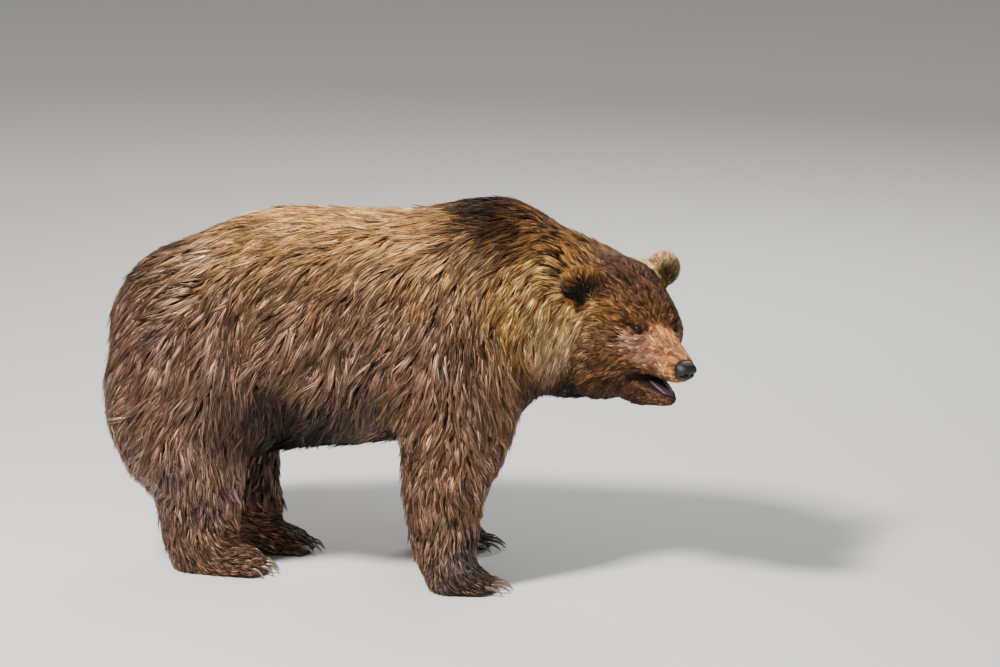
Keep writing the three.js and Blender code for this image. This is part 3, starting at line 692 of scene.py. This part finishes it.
def finish(name, roughness, specular, bump_scale=None, bump_depth=0.0, pattern="ShaderNodeTexNoise", coat=0.0):
    """A finish whose colour is painted on the piece, with a fine relief where a bump scale is given."""
    material = bpy.data.materials.new(name)
    material.use_nodes = True
    tree = material.node_tree
    shader = tree.nodes["Principled BSDF"]
    shader.inputs["Roughness"].default_value = roughness
    shader.inputs["Specular IOR Level"].default_value = specular
    shader.inputs["Coat Weight"].default_value = coat
    shader.inputs["Coat Roughness"].default_value = 0.06
    painted = add_node(tree, "ShaderNodeAttribute", attribute_name="coat")
    tree.links.new(painted.outputs["Color"], shader.inputs["Base Color"])
    if bump_scale:
        place = add_node(tree, "ShaderNodeTexCoord")
        grain = add_node(tree, pattern, {"Vector": place.outputs["Object"], "Scale": bump_scale})
        height = grain.outputs["Distance" if pattern == "ShaderNodeTexVoronoi" else "Fac"]
        bump = add_node(tree, "ShaderNodeBump", {"Height": height, "Strength": 0.6, "Distance": bump_depth})
        tree.links.new(bump.outputs["Normal"], shader.inputs["Normal"])
    return material


FUR = finish("damp_fur", 0.33, 0.34)
DRY_FUR = finish("dry_fur", 0.6, 0.2)
for fur in (FUR, DRY_FUR):
    nodes = fur.node_tree.nodes
    fur.node_tree.links.new(nodes["Attribute"].outputs["Alpha"], nodes["Principled BSDF"].inputs["Roughness"])
SKIN = finish("skin_under_coat", 0.8, 0.1, 420.0, 0.0015)
RHINARIUM = finish("wet_nose_leather", 0.45, 0.42, 950.0, 0.0006, "ShaderNodeTexVoronoi", 0.06)
LID = finish("wet_lid_skin", 0.55, 0.2, 900.0, 0.0003)
EYEBALL = finish("wet_eyeball", 0.05, 0.32)
HORN = finish("claw_horn", 0.28, 0.55, 700.0, 0.0003, coat=0.3)
TONGUE = finish("wet_tongue", 0.42, 0.4, 800.0, 0.0006, "ShaderNodeTexVoronoi", 0.05)


def paint_skin():
    places, normals = mesh_places(skin.data), mesh_normals(skin.data)
    _, length, colour = coat_at(places, normals)
    local = to_head(places)
    lining = mouth_share(local, normals)[:, None]
    # Painted shade in the mouth: its lining is dark, and darker still towards the back.
    hollow_shade = smooth(0.25 - local[:, 0], 0, 0.08)[:, None]
    shaded_lining = linear("#241820") * (1 - hollow_shade) + linear("#0f090c") * hollow_shade
    # Painted shade: the skin under the coat is painted darker where the hair over it is longer.
    share = (0.80 - 0.60 * smooth(length, 0.008, 0.03))[:, None]
    lips = lip_share(local)[:, None]
    tone = colour * share * (1 - lips) + linear("#1c1517") * lips
    tone = tone * (1 - lining) + shaded_lining * lining
    nose = bump_at(local, NOSE_AT, NOSE_SIZE * 0.8)[:, None]
    tone = tone * (1 - nose) + linear("#1d1a1b") * nose
    for sign in (1, -1):
        centre, along, up, _ = EYE_FRAMES[sign]
        gap = places - centre
        rim = np.hypot(np.linalg.norm(gap - np.outer(gap @ up, up), axis=1) / 0.0225, (gap @ up) / 0.0115)
        near = np.exp(-(rim**6))[:, None]
        tone = tone * (1 - near) + linear("#120c0a") * near
    sole = ((places[:, 2] < 0.012) & (normals[:, 2] < -0.3))[:, None]
    tone = np.where(sole, linear("#2b211c"), tone)
    paint(skin, tone)
    skin.data.materials.append(SKIN)


paint_skin()
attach(skin, "root")
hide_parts(*FLESH)


# ------------------------------------------------------------------ the bare parts
def ring_mesh(name, rings, start=None, end=None):
    """A skin of quads over closed rings of points, with a point at either end where one is given."""
    rings = np.asarray(rings)
    levels, count = rings.shape[:2]
    shape = bmesh.new()
    rows = [[shape.verts.new(point) for point in ring] for ring in rings]
    for upper, lower in zip(rows[:-1], rows[1:]):
        for k in range(count):
            shape.faces.new((upper[k], upper[(k + 1) % count], lower[(k + 1) % count], lower[k]))
    for point, row in ((start, rows[0]), (end, rows[-1])):
        if point is not None:
            pole = shape.verts.new(point)
            for k in range(count):
                shape.faces.new((pole, row[(k + 1) % count], row[k]))
    bmesh.ops.recalc_face_normals(shape, faces=shape.faces[:])
    for face in shape.faces:
        face.smooth = True
    mesh = bpy.data.meshes.new(name)
    shape.to_mesh(mesh)
    shape.free()
    piece = bpy.data.objects.new(name, mesh)
    bpy.context.scene.collection.objects.link(piece)
    return piece


def merge(piece):
    """Merges a piece's doubled points, and turns its faces outwards."""
    shape = bmesh.new()
    shape.from_mesh(piece.data)
    bmesh.ops.remove_doubles(shape, verts=shape.verts[:], dist=1e-6)
    bmesh.ops.recalc_face_normals(shape, faces=shape.faces[:])
    shape.to_mesh(piece.data)
    shape.free()


def finished(piece, material, slot, *nodes):
    piece.data.materials.append(material)
    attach(piece, "root")
    if nodes:
        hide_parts(*nodes)


def make_eye(side, sign):
    """An eyeball with a bulging cornea, brown iris and round pupil, and its two lids."""
    centre, along, up, out = EYE_FRAMES[sign]
    angles = np.linspace(0, 2 * math.pi, 48, endpoint=False)
    ways = np.cos(angles)[:, None] * along + np.sin(angles)[:, None] * up
    polar = np.concatenate([np.linspace(0.04, 0.9, 24), np.linspace(1.0, 3.0, 12)])
    bulge = 1 + 0.09 * np.exp(-((polar / 0.55) ** 4))
    rings = [
        centre + EYE_RADIUS * swell * (math.sin(angle) * ways + math.cos(angle) * out)
        for angle, swell in zip(polar, bulge)
    ]
    ball = ring_mesh(f"eyeball_{side}", rings, centre + out * EYE_RADIUS * 1.09, centre - out * EYE_RADIUS)
    local = mesh_places(ball.data) - centre
    angle = np.arccos(np.clip(unit(local) @ out, -1, 1))
    turn_at = np.arctan2(local @ up, local @ along)
    streak = 1 + 0.25 * np.sin(turn_at * 23) * np.sin(turn_at * 7 + 1)
    iris = linear("#1c1009") * streak[:, None] * (0.65 + 0.7 * smooth(0.5 - angle, 0, 0.25))[:, None]
    tone = iris * smooth(angle, 0.22, 0.26)[:, None]
    edge = smooth(angle, 0.70, 0.82)[:, None]
    tone = tone * (1 - edge) + linear("#120c0a") * edge
    white = smooth(angle, 0.90, 1.05)[:, None]
    paint(ball, tone * (1 - white) + linear("#1e1512") * white)
    finished(ball, EYEBALL, "eye", f"eye_{side}")

    # The lids' bare edge: a soft roll of skin round the opening, thicker above.
    x, y = eye_opening(angles)
    edge_at = centre + x[:, None] * along + y[:, None] * up + lid_height(x, y)[:, None] * out
    away = unit(x[:, None] * along + y[:, None] * up * 1.6)
    thick = 0.0010 + 0.0004 * smooth(np.sin(angles), 0.0, 0.6)
    rings = []
    for angle in np.linspace(0, 2 * math.pi, 12, endpoint=False):
        rings.append(edge_at + thick[:, None] * ((1 + math.cos(angle)) * away + 0.8 * math.sin(angle) * out))
    lids = ring_mesh(f"lids_{side}", rings + rings[:1])
    merge(lids)
    paint(lids, np.tile(linear("#120c0a"), (len(lids.data.vertices), 1)))
    finished(lids, LID, "nose")


def make_nose():
    """The nose's bare leather, with comma-shaped nostrils and a groove down its middle."""
    pitch = math.radians(14)
    spin = np.array(Matrix.Rotation(pitch, 3, "Y"))
    angles = np.linspace(0, 2 * math.pi, 96, endpoint=False)
    polar = np.linspace(0.05, 2.4, 56)
    around = np.stack([np.zeros(96), np.cos(angles), np.sin(angles)], 1)
    forward = np.array([1.0, 0, 0])
    rings = np.array([math.sin(angle) * around + math.cos(angle) * forward for angle in polar])
    flat = rings.reshape(-1, 3)
    power = 2.5  # above 2, the front is squarer than a ball's
    size = (np.abs(flat) ** power).sum(1) ** (-1 / power)
    flat = flat * size[:, None]
    y, z = np.abs(flat[:, 1]), flat[:, 2]
    front = smooth(flat[:, 0], 0.0, 0.5)
    dent = 0.62 * front * np.exp(-(((y - 0.40) / 0.20) ** 2 + ((z - 0.06) / 0.24) ** 2))
    dent += 0.34 * np.exp(-(((y - 0.74) / 0.24) ** 2 + ((z + 0.12 + 0.3 * (y - 0.7)) / 0.10) ** 2))
    dent += 0.13 * front * np.exp(-((y / 0.05) ** 2)) * smooth(0.35 - z, 0, 0.3)
    swell = 0.07 * np.exp(-(((y - 0.62) / 0.22) ** 2 + ((z - 0.38) / 0.25) ** 2))
    flat = flat * (1 - dent + swell)[:, None]
    flat = flat * (1 - 0.16 * smooth(-z, 0.1, 1.0))[:, None] ** [0, 1, 0]
    nose = (flat * NOSE_SIZE) @ spin.T + NOSE_AT
    tip = (np.array([0.98, 0, 0]) * NOSE_SIZE) @ spin.T + NOSE_AT
    piece = ring_mesh("nose_pad", from_head(nose).reshape(56, 96, 3), from_head(tip[None])[0])
    local = (to_head(mesh_places(piece.data)) - NOSE_AT) @ spin / NOSE_SIZE
    y, z = np.abs(local[:, 1]), local[:, 2]
    # Painted shade in the nostrils: the leather is painted near black in their hollows.
    nostril_shade = np.exp(-(((y - 0.34) / 0.20) ** 2 + ((z - 0.05) / 0.22) ** 2))
    nostril_shade = nostril_shade + np.exp(-(((y - 0.66) / 0.24) ** 2 + ((z + 0.11) / 0.10) ** 2))
    tone = linear("#0f0d0e") * (1 - np.clip(nostril_shade, 0, 0.92))[:, None]
    paint(piece, tone)
    finished(piece, RHINARIUM, "nose", "nose")


def rounded_copy(name, nodes, levels, rounding):
    """The nodes' merged meshes as one smoother piece."""
    places, faces, count = [], [], 0
    for node in nodes:
        corners, triangles = welded(node)
        places.append(corners)
        faces.append(triangles + count)
        count += len(corners)
    piece = new_mesh(name, np.concatenate(places), np.concatenate(faces))
    if rounding:
        rounder = piece.modifiers.new("remesh", "REMESH")
        rounder.mode = "VOXEL"
        rounder.voxel_size = rounding
    smoother = piece.modifiers.new("round", "SUBSURF")
    smoother.levels = smoother.render_levels = levels
    return applied(piece)


def make_claws(foot, side):
    """The five claws of a foot, dark at the root and pale at the tip, with fine lines along the horn."""
    names = [f"claw_{foot}_{side}_{number}" for number in range(1, 6)]
    piece = rounded_copy(f"claws_{foot}_{side}", names, 2, None)
    places = mesh_places(piece.data)
    tone = np.zeros_like(places)
    for name in names:
        low, high = (np.array(corner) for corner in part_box(name))
        near = np.all((places > low - 0.002) & (places < high + 0.002), axis=1)
        along = np.clip((places[:, 0] - low[0]) / (high[0] - low[0]), 0, 1)
        shade = linear("#2b201a") * (1 - along)[:, None] + linear("#7d6a59") * along[:, None]
        tone[near] = shade[near]
    streak = 1 + 0.18 * waves(places * [0.3, 1, 1], 0.004, 31)
    paint(piece, tone * streak[:, None])
    finished(piece, HORN, "claw", *names)


def make_tongue():
    """The tongue, with a groove along its middle."""
    piece = rounded_copy("tongue_flesh", ["tongue"], 1, 0.003)
    places = relaxed(piece.data, mesh_places(piece.data), 40, 0.5)
    move_mesh(piece.data, places)
    local = to_head(places)
    normals = mesh_normals(piece.data)
    places = places - (HEAD_TURN @ np.array([0, 0, 0.003]))[None]
    groove = np.exp(-((local[:, 1] / 0.004) ** 2)) * np.clip((normals @ HEAD_TURN)[:, 2], 0, 1)
    move_mesh(piece.data, places - normals * (0.0025 * groove)[:, None])
    # Painted shade: the tongue is painted dark, and darker towards the back of the mouth.
    tip = smooth(to_head(places)[:, 0], 0.17, 0.28)[:, None]
    paint(piece, linear("#1d1318") * (1 - tip) + linear("#3e2830") * tip)
    finished(piece, TONGUE, "tongue", "tongue")


for side, sign in (("left", 1), ("right", -1)):
    make_eye(side, sign)
    make_claws("front", side)
    make_claws("hind", side)
make_nose()
make_tongue()


# ------------------------------------------------------------------ the coat's locks
def skin_arrays():
    mesh = skin.data
    mesh.calc_loop_triangles()
    triangles = np.empty(len(mesh.loop_triangles) * 3, np.int32)
    mesh.loop_triangles.foreach_get("vertices", triangles)
    loops = np.empty(len(mesh.loop_triangles) * 3, np.int32)
    mesh.loop_triangles.foreach_get("loops", loops)
    flat = np.empty(len(mesh.loops) * 2, np.float32)
    mesh.uv_layers["OFBake"].data.foreach_get("uv", flat)
    return mesh_places(mesh), mesh_normals(mesh), triangles.reshape(-1, 3), flat.reshape(-1, 2)[loops.reshape(-1, 3)]


SKIN_AT, SKIN_NORMAL, SKIN_FACES, SKIN_UV = skin_arrays()
FACE_CENTRE = SKIN_AT[SKIN_FACES].mean(1)
FACE_AREA = 0.5 * np.linalg.norm(
    np.cross(
        SKIN_AT[SKIN_FACES[:, 1]] - SKIN_AT[SKIN_FACES[:, 0]],
        SKIN_AT[SKIN_FACES[:, 2]] - SKIN_AT[SKIN_FACES[:, 0]],
    ),
    axis=1,
)
FACE_NORMAL = unit(SKIN_NORMAL[SKIN_FACES].mean(1))
SKIN_TREE = BVHTree.FromPolygons(SKIN_AT.tolist(), SKIN_FACES.tolist())


def bare(points, normals):
    """Where no hair grows: mouth, nose, eyes, soles."""
    local = to_head(points)
    nose = np.linalg.norm((local - NOSE_AT) / (NOSE_SIZE + 0.002), axis=1) < 1
    eye = np.zeros(len(points), bool)
    for sign in (1, -1):
        centre, along, up, out = EYE_FRAMES[sign]
        gap = points - centre
        eye |= np.hypot((gap @ along) / 0.0190, (gap @ up) / 0.0074) + (np.abs(gap @ out) > 0.02) * 9 < 1
    sole = (points[:, 2] < 0.012) & (normals[:, 2] < -0.3)
    return nose | eye | sole | (np.maximum(mouth_share(local, normals), lip_share(local)) > 0.4)


def scatter(faces, count, dice):
    """Random roots over chosen faces: places, normals, and where they are on the unwrap."""
    weight = FACE_AREA[faces] / FACE_AREA[faces].sum()
    picked = faces[dice.choice(len(faces), count, p=weight)]
    a, b = dice.random(count), dice.random(count)
    over = a + b > 1
    a[over], b[over] = 1 - a[over], 1 - b[over]
    share = np.stack([1 - a - b, a, b], 1)[:, :, None]
    places = (SKIN_AT[SKIN_FACES[picked]] * share).sum(1)
    normals = unit((SKIN_NORMAL[SKIN_FACES[picked]] * share).sum(1))
    flat = (SKIN_UV[picked] * share).sum(1)
    return places, normals, flat


def nearest(points, lays, centres, stretch):
    """The lock each hair joins, the nearest where distance along the lay counts for less, and its nearness to
    the edge, 1 where two locks are as near."""
    tree = KDTree(len(centres))
    for index, centre in enumerate(centres):
        tree.insert(centre, index)
    tree.balance()
    few = np.array([[found[1] for found in tree.find_n(point, 8)] for point in points])
    gap = points[:, None] - centres[few]
    along = (gap * lays[:, None]).sum(2)
    measure = (gap**2).sum(2) - (1 - stretch**2) * along**2
    first, second = np.sort(measure, axis=1)[:, :2].T
    return few[np.arange(len(points)), measure.argmin(1)], np.sqrt(first / second)


def on_skin(points):
    """The nearest place of the skin to each point, and its way up."""
    found = [SKIN_TREE.find_nearest(point) for point in points]
    return np.array([hit[0] for hit in found]), np.array([hit[1] for hit in found])


def strand_line(places, normals, lay, length, lift):
    """Middle and tip of a hair that rises off the skin and then follows it, hanging freer on the legs' rear."""
    rise = length * np.sin(lift)
    near, up = on_skin(places + lay * (0.45 * length)[:, None])
    middle_at = near + up * (0.45 * rise)[:, None]
    way = middle_at - places
    way = unit(way - up * (way * up).sum(1, keepdims=True))
    near, up = on_skin(near + way * (0.55 * length)[:, None])
    tip_at = near + up * (0.75 * rise)[:, None]
    straight = places + length[:, None] * (lay * np.cos(lift)[:, None] + normals * (0.8 * np.sin(lift))[:, None])
    free = 0.08 + 0.45 * smooth(-normals[:, 0], 0.1, 0.8) * (1 - smooth(places[:, 2], 0.30, 0.42))
    free = free + 0.45 * smooth(-normals[:, 2], 0.0, 0.6) * smooth(places[:, 2], 0.2, 0.3)
    return middle_at, tip_at + (straight - tip_at) * free[:, None]


def lay_with_sway(places, normals, lay, dice, noise):
    """The lay, turned a little this way and that, more on the curly forehead."""
    curl = bump_at(to_head(places), (0.10, 0.05, 0.11), np.array([0.05, 0.05, 0.04]))
    side = np.cross(normals, lay)
    sway = 0.20 * waves(places, 0.22, 3) + 0.22 * waves(places, 0.07, 4)
    sway += curl * (0.60 * waves(places, 0.028, 5)) + noise * dice.normal(size=len(places))
    return unit(lay + side * sway[:, None]), side


def make_coat(name, chosen, count, across, along, width, gather, rise, slot, dice):
    """One piece of the coat: hairs as thin closed spindles, gathered into damp locks."""
    faces = np.flatnonzero(chosen & ~bare(FACE_CENTRE, FACE_NORMAL))
    places, normals, flat = scatter(faces, count, dice)
    lock_count = max(20, int(FACE_AREA[faces].sum() / (across * along)))
    lock_at, lock_normal, _ = scatter(faces, lock_count, dice)
    lock_lay, lock_length, _ = coat_at(lock_at, lock_normal)
    lock_lay, lock_side = lay_with_sway(lock_at, lock_normal, lock_lay, dice, 0.14)
    lock_length = lock_length * np.clip(1.08 + 0.18 * dice.normal(size=lock_count), 0.6, 1.5)
    lock_lift = np.radians(np.clip(rise * (1 + 0.45 * dice.normal(size=lock_count)), 3, 32))
    lock_middle, lock_tip = strand_line(lock_at, lock_normal, lock_lay, lock_length, lock_lift)
    bend = (lock_length * 0.10 * dice.normal(size=lock_count))[:, None]
    lock_middle += lock_side * bend
    lock_tip -= lock_side * bend * 0.6
    lock_shade = np.exp(0.44 * dice.normal(size=lock_count))

    lay, length, colour = coat_at(places, normals)
    lay, _ = lay_with_sway(places, normals, lay, dice, 0.10)
    lock, edge = nearest(places, lay, lock_at, across / along)
    length = length * np.clip(1 + 0.14 * dice.normal(size=count), 0.5, 1.5)
    lift = np.radians(np.clip(rise * (1 + 0.45 * dice.normal(size=count)), 3, 34))
    middle_at, tip_at = strand_line(places, normals, lay, length, lift)
    wet = gather * (1 - 0.30 * smooth(places[:, 2], 0.86, 1.0)) * (0.25 + 0.75 * smooth(length, 0.009, 0.022))
    pull = np.where(dice.random(count) < 0.10, 0.15, wet)[:, None]
    middle_at += (lock_middle[lock] - middle_at) * pull * 0.5
    tip_at += (lock_tip[lock] - tip_at) * pull * np.clip(1.2 - dice.random(count) * 0.5, 0, 1)[:, None]
    astray = (unit(tip_at - places) * lay).sum(1, keepdims=True) < 0.72
    tip_at = np.where(astray, places + (tip_at - places) * 0.45, tip_at)
    middle_at = np.where(astray, places + (middle_at - places) * 0.45, middle_at)
    too_low = ((middle_at - places) * normals).sum(1, keepdims=True) < 0.001
    middle_at = np.where(too_low, middle_at + normals * 0.0015, middle_at)

    root_at = places - normals * 0.0015
    way = unit(tip_at - root_at)
    side = unit(np.cross(normals, way))
    over = np.cross(way, side)
    girth = width * np.clip(length / 0.06, 0.3, 1.1) * np.clip(1 + 0.25 * dice.normal(size=count), 0.5, 1.6)
    spin = dice.uniform(0, 2 * math.pi, count)
    points = np.empty((count, 5, 3))
    points[:, 0] = root_at
    for k in range(3):
        angle = spin + k * 2 * math.pi / 3
        ring = side * np.cos(angle)[:, None] + over * np.sin(angle)[:, None] * 0.7
        points[:, k + 1] = middle_at + ring * girth[:, None]
    points[:, 4] = tip_at
    points[:, :, 2] = np.maximum(points[:, :, 2], 0.001)
    pattern = np.array([[2, 1, 0], [3, 2, 0], [1, 3, 0], [1, 2, 4], [2, 3, 4], [3, 1, 4]])
    triangles = (np.arange(count)[:, None, None] * 5 + pattern[None]).reshape(-1, 3)

    piece = new_mesh(name, points.reshape(-1, 3), triangles)
    shade = lock_shade[lock] * np.exp(0.26 * dice.normal(size=count))
    shade *= np.exp(0.14 * waves(places, 0.35, 11) + 0.12 * waves(places, 0.05, 12))
    warm = (0.13 * waves(places, 0.09, 13))[:, None] * [0.6, 0.1, -0.6]
    hue = colour * np.exp(warm)
    # Painted shade between the locks: hairs at a lock's edge are painted darker, most on wet fur.
    lock_gap_shade = (0.92 - 0.34 * dryness(places)) * smooth(length, 0.010, 0.026)
    shade *= 1.16 - lock_gap_shade * smooth(edge, 0.62, 0.96)
    # Painted shade: one hair in ten is painted much darker, for the gaps between hairs.
    shade = np.where(dice.random(count) < 0.10, shade * 0.4, shade)
    # A few pale greyish hairs, more where the fur is wet: partly the coat's own pale hairs, partly a painted highlight
    # of the wet gloss.
    pale = (dice.random(count) < 0.07 * (1 - 0.7 * dryness(places)))[:, None]
    hue = np.where(pale, hue * 1.3 + linear("#a8957f") * 0.2, hue)
    tones = np.empty((count, 5, 3))
    # The root is painted nearly black and the tip paler: partly darker underfur and pale tips, partly painted shade
    # deep in the coat and a painted highlight at the tips.
    tones[:, 0] = hue * 0.10
    tones[:, 1:4] = (hue * shade[:, None])[:, None]
    tones[:, 4] = hue * shade[:, None] * [1.75, 1.70, 1.64]
    dull = np.maximum(dryness(places), 1.6 * ear_field(places)[0])
    paint(piece, tones.reshape(-1, 3), np.repeat(0.30 + 0.34 * dull, 5))
    patch = np.array([[0, 1.5], [1.5, 0], [1.5, 1.5], [1.5, 3.0], [3.0, 1.5]]) * 0.001
    corners = np.clip(flat[:, None] + patch[None], 0.0005, 0.9995)
    layer = piece.data.uv_layers.new(name="OFBake")
    layer.data.foreach_set("uv", corners.reshape(-1, 2)[triangles.ravel()].astype(np.float32).ravel())
    finished(piece, DRY_FUR if slot in ("face_coat", "ear_coat", "neck_coat") else FUR, slot)


# Each coat piece: the part of the body it covers, how dense its hair is beside the flank's, the spacing of its
# locks across and along the lay, the thickness of a hair (half of it), and how tightly the locks gather.
local_centre = to_head(FACE_CENTRE)
x, y, z = (FACE_CENTRE - SHOULDER).T
in_ear = ear_field(FACE_CENTRE)[0] > 0.3
is_head = (local_centre[:, 0] > -0.085) & (x > 0.12) & (z > 0.4) & ~in_ear
is_muzzle = is_head & (local_centre[:, 0] > 0.135)
is_face = is_head & (local_centre[:, 0] > 0.055) & ~is_muzzle
is_neck = ~is_head & ~in_ear & (x > 0.02) & (z > 0.45)
body = ~(is_head | is_neck | in_ear)
is_paw = body & (z < 0.10)
is_hind_leg = body & ~is_paw & (x < -0.58) & (z < 0.42)
is_fore_leg = body & ~is_paw & (x > -0.34) & (z < 0.45)
is_trunk = body & ~(is_paw | is_hind_leg | is_fore_leg)
right = y < 0
REGIONS = {
    "coat_face": (is_face, 4.6, 0.006, 0.016, 0.0016, 0.55, 10, "face_coat"),
    "coat_muzzle": (is_muzzle, 8.0, 0.006, 0.012, 0.0015, 0.60, 11, "face_coat"),
    "coat_head": (is_head & ~is_face & ~is_muzzle, 2.7, 0.0065, 0.020, 0.0015, 0.58, 10, "face_coat"),
    "coat_ears": (in_ear, 8.0, 0.005, 0.009, 0.0011, 0.40, 20, "ear_coat"),
    "coat_neck": (is_neck, 1.3, 0.0070, 0.030, 0.0015, 0.75, 12, "neck_coat"),
    "coat_shoulder_right": (is_trunk & right & (x > -0.27), 1.15, 0.0065, 0.034, 0.0015, 0.85, 11, "back_coat"),
    "coat_shoulder_left": (is_trunk & ~right & (x > -0.27), 1.0, 0.0070, 0.034, 0.0016, 0.85, 11, "back_coat"),
    "coat_flank_right": (is_trunk & right & (abs(x + 0.465) <= 0.195), 1.15, 0.0065, 0.034, 0.0015, 0.85, 11, "back_coat"),
    "coat_flank_left": (is_trunk & ~right & (abs(x + 0.465) <= 0.195), 1.0, 0.0070, 0.034, 0.0016, 0.85, 11, "back_coat"),
    "coat_rump_right": (is_trunk & right & (x < -0.66), 1.15, 0.0065, 0.034, 0.0015, 0.85, 11, "back_coat"),
    "coat_rump_left": (is_trunk & ~right & (x < -0.66), 1.0, 0.0070, 0.034, 0.0016, 0.85, 11, "back_coat"),
    "coat_fore_legs": (is_fore_leg, 1.2, 0.0070, 0.028, 0.0015, 0.80, 12, "leg_coat"),
    "coat_hind_legs": (is_hind_leg, 1.2, 0.0070, 0.028, 0.0015, 0.80, 12, "leg_coat"),
    "coat_paws": (is_paw, 1.1, 0.007, 0.014, 0.0017, 0.55, 12, "paw_coat"),
}
HAIRS = 249000
MOST_IN_A_PIECE = 33000
shares = {name: float(FACE_AREA[row[0]].sum()) * row[1] for name, row in REGIONS.items()}
for number, (name, row) in enumerate(REGIONS.items()):
    chosen, _, across, along, width, gather, rise, slot = row
    count = min(MOST_IN_A_PIECE, int(HAIRS * shares[name] / sum(shares.values())))
    print(name, count, round(shares[name] / row[1], 3))
    make_coat(name, chosen, count, across, along, width, gather, rise, slot, np.random.default_rng(100 + number))

# ------------------------------------------------------------------ floor, light, camera
floor_mesh = bpy.data.meshes.new("floor")
floor_mesh.from_pydata([(-40, -40, 0), (40, -40, 0), (40, 40, 0), (-40, 40, 0)], [], [(0, 1, 2, 3)])
floor = bpy.data.objects.new("floor", floor_mesh)
bpy.context.scene.collection.objects.link(floor)
paper = bpy.data.materials.new("pale_paper")
paper.use_nodes = True
paper.node_tree.nodes["Principled BSDF"].inputs["Base Color"].default_value = (0.62, 0.61, 0.59, 1)
paper.node_tree.nodes["Principled BSDF"].inputs["Roughness"].default_value = 0.8
floor_mesh.materials.append(paper)


def area_light(name, at, aim, size, power, colour=(1, 1, 1)):
    light = bpy.data.lights.new(name, "AREA")
    light.size = size
    light.energy = power
    light.color = colour
    lamp = bpy.data.objects.new(name, light)
    lamp.location = at
    lamp.rotation_euler = (Vector(aim) - Vector(at)).to_track_quat("-Z", "Y").to_euler()
    bpy.context.scene.collection.objects.link(lamp)


area_light("key", (-2.0, -3.0, 5.0), (0, 0, 0.5), 0.9, 850, (1.0, 0.97, 0.92))
area_light("fill", (3.8, -3.5, 2.2), (0, 0, 0.5), 3.0, 64, (0.92, 0.96, 1.0))
area_light("back", (0.5, 4.0, 3.4), (0, 0, 0.6), 2.5, 150)
world = bpy.data.worlds.new("studio")
world.use_nodes = True
world.node_tree.nodes["Background"].inputs["Color"].default_value = (0.93, 0.92, 0.90, 1)
world.node_tree.nodes["Background"].inputs["Strength"].default_value = 0.32
bpy.context.scene.world = world

camera_data = bpy.data.cameras.new("camera")
camera_data.sensor_width = 36
camera_data.lens = 186.48
camera_data.clip_end = 60
camera = bpy.data.objects.new("camera", camera_data)
bpy.context.scene.collection.objects.link(camera)
azimuth, elevation, distance = math.radians(8), math.radians(14), 14.0
aim = Vector(SHOULDER + np.array([0, 0, 0.66]))
back = Vector((math.sin(azimuth) * math.cos(elevation), -math.cos(azimuth) * math.cos(elevation), math.sin(elevation)))
camera.location = aim + back * distance
camera.rotation_euler = (-back).to_track_quat("-Z", "Y").to_euler()
bpy.context.scene.camera = camera
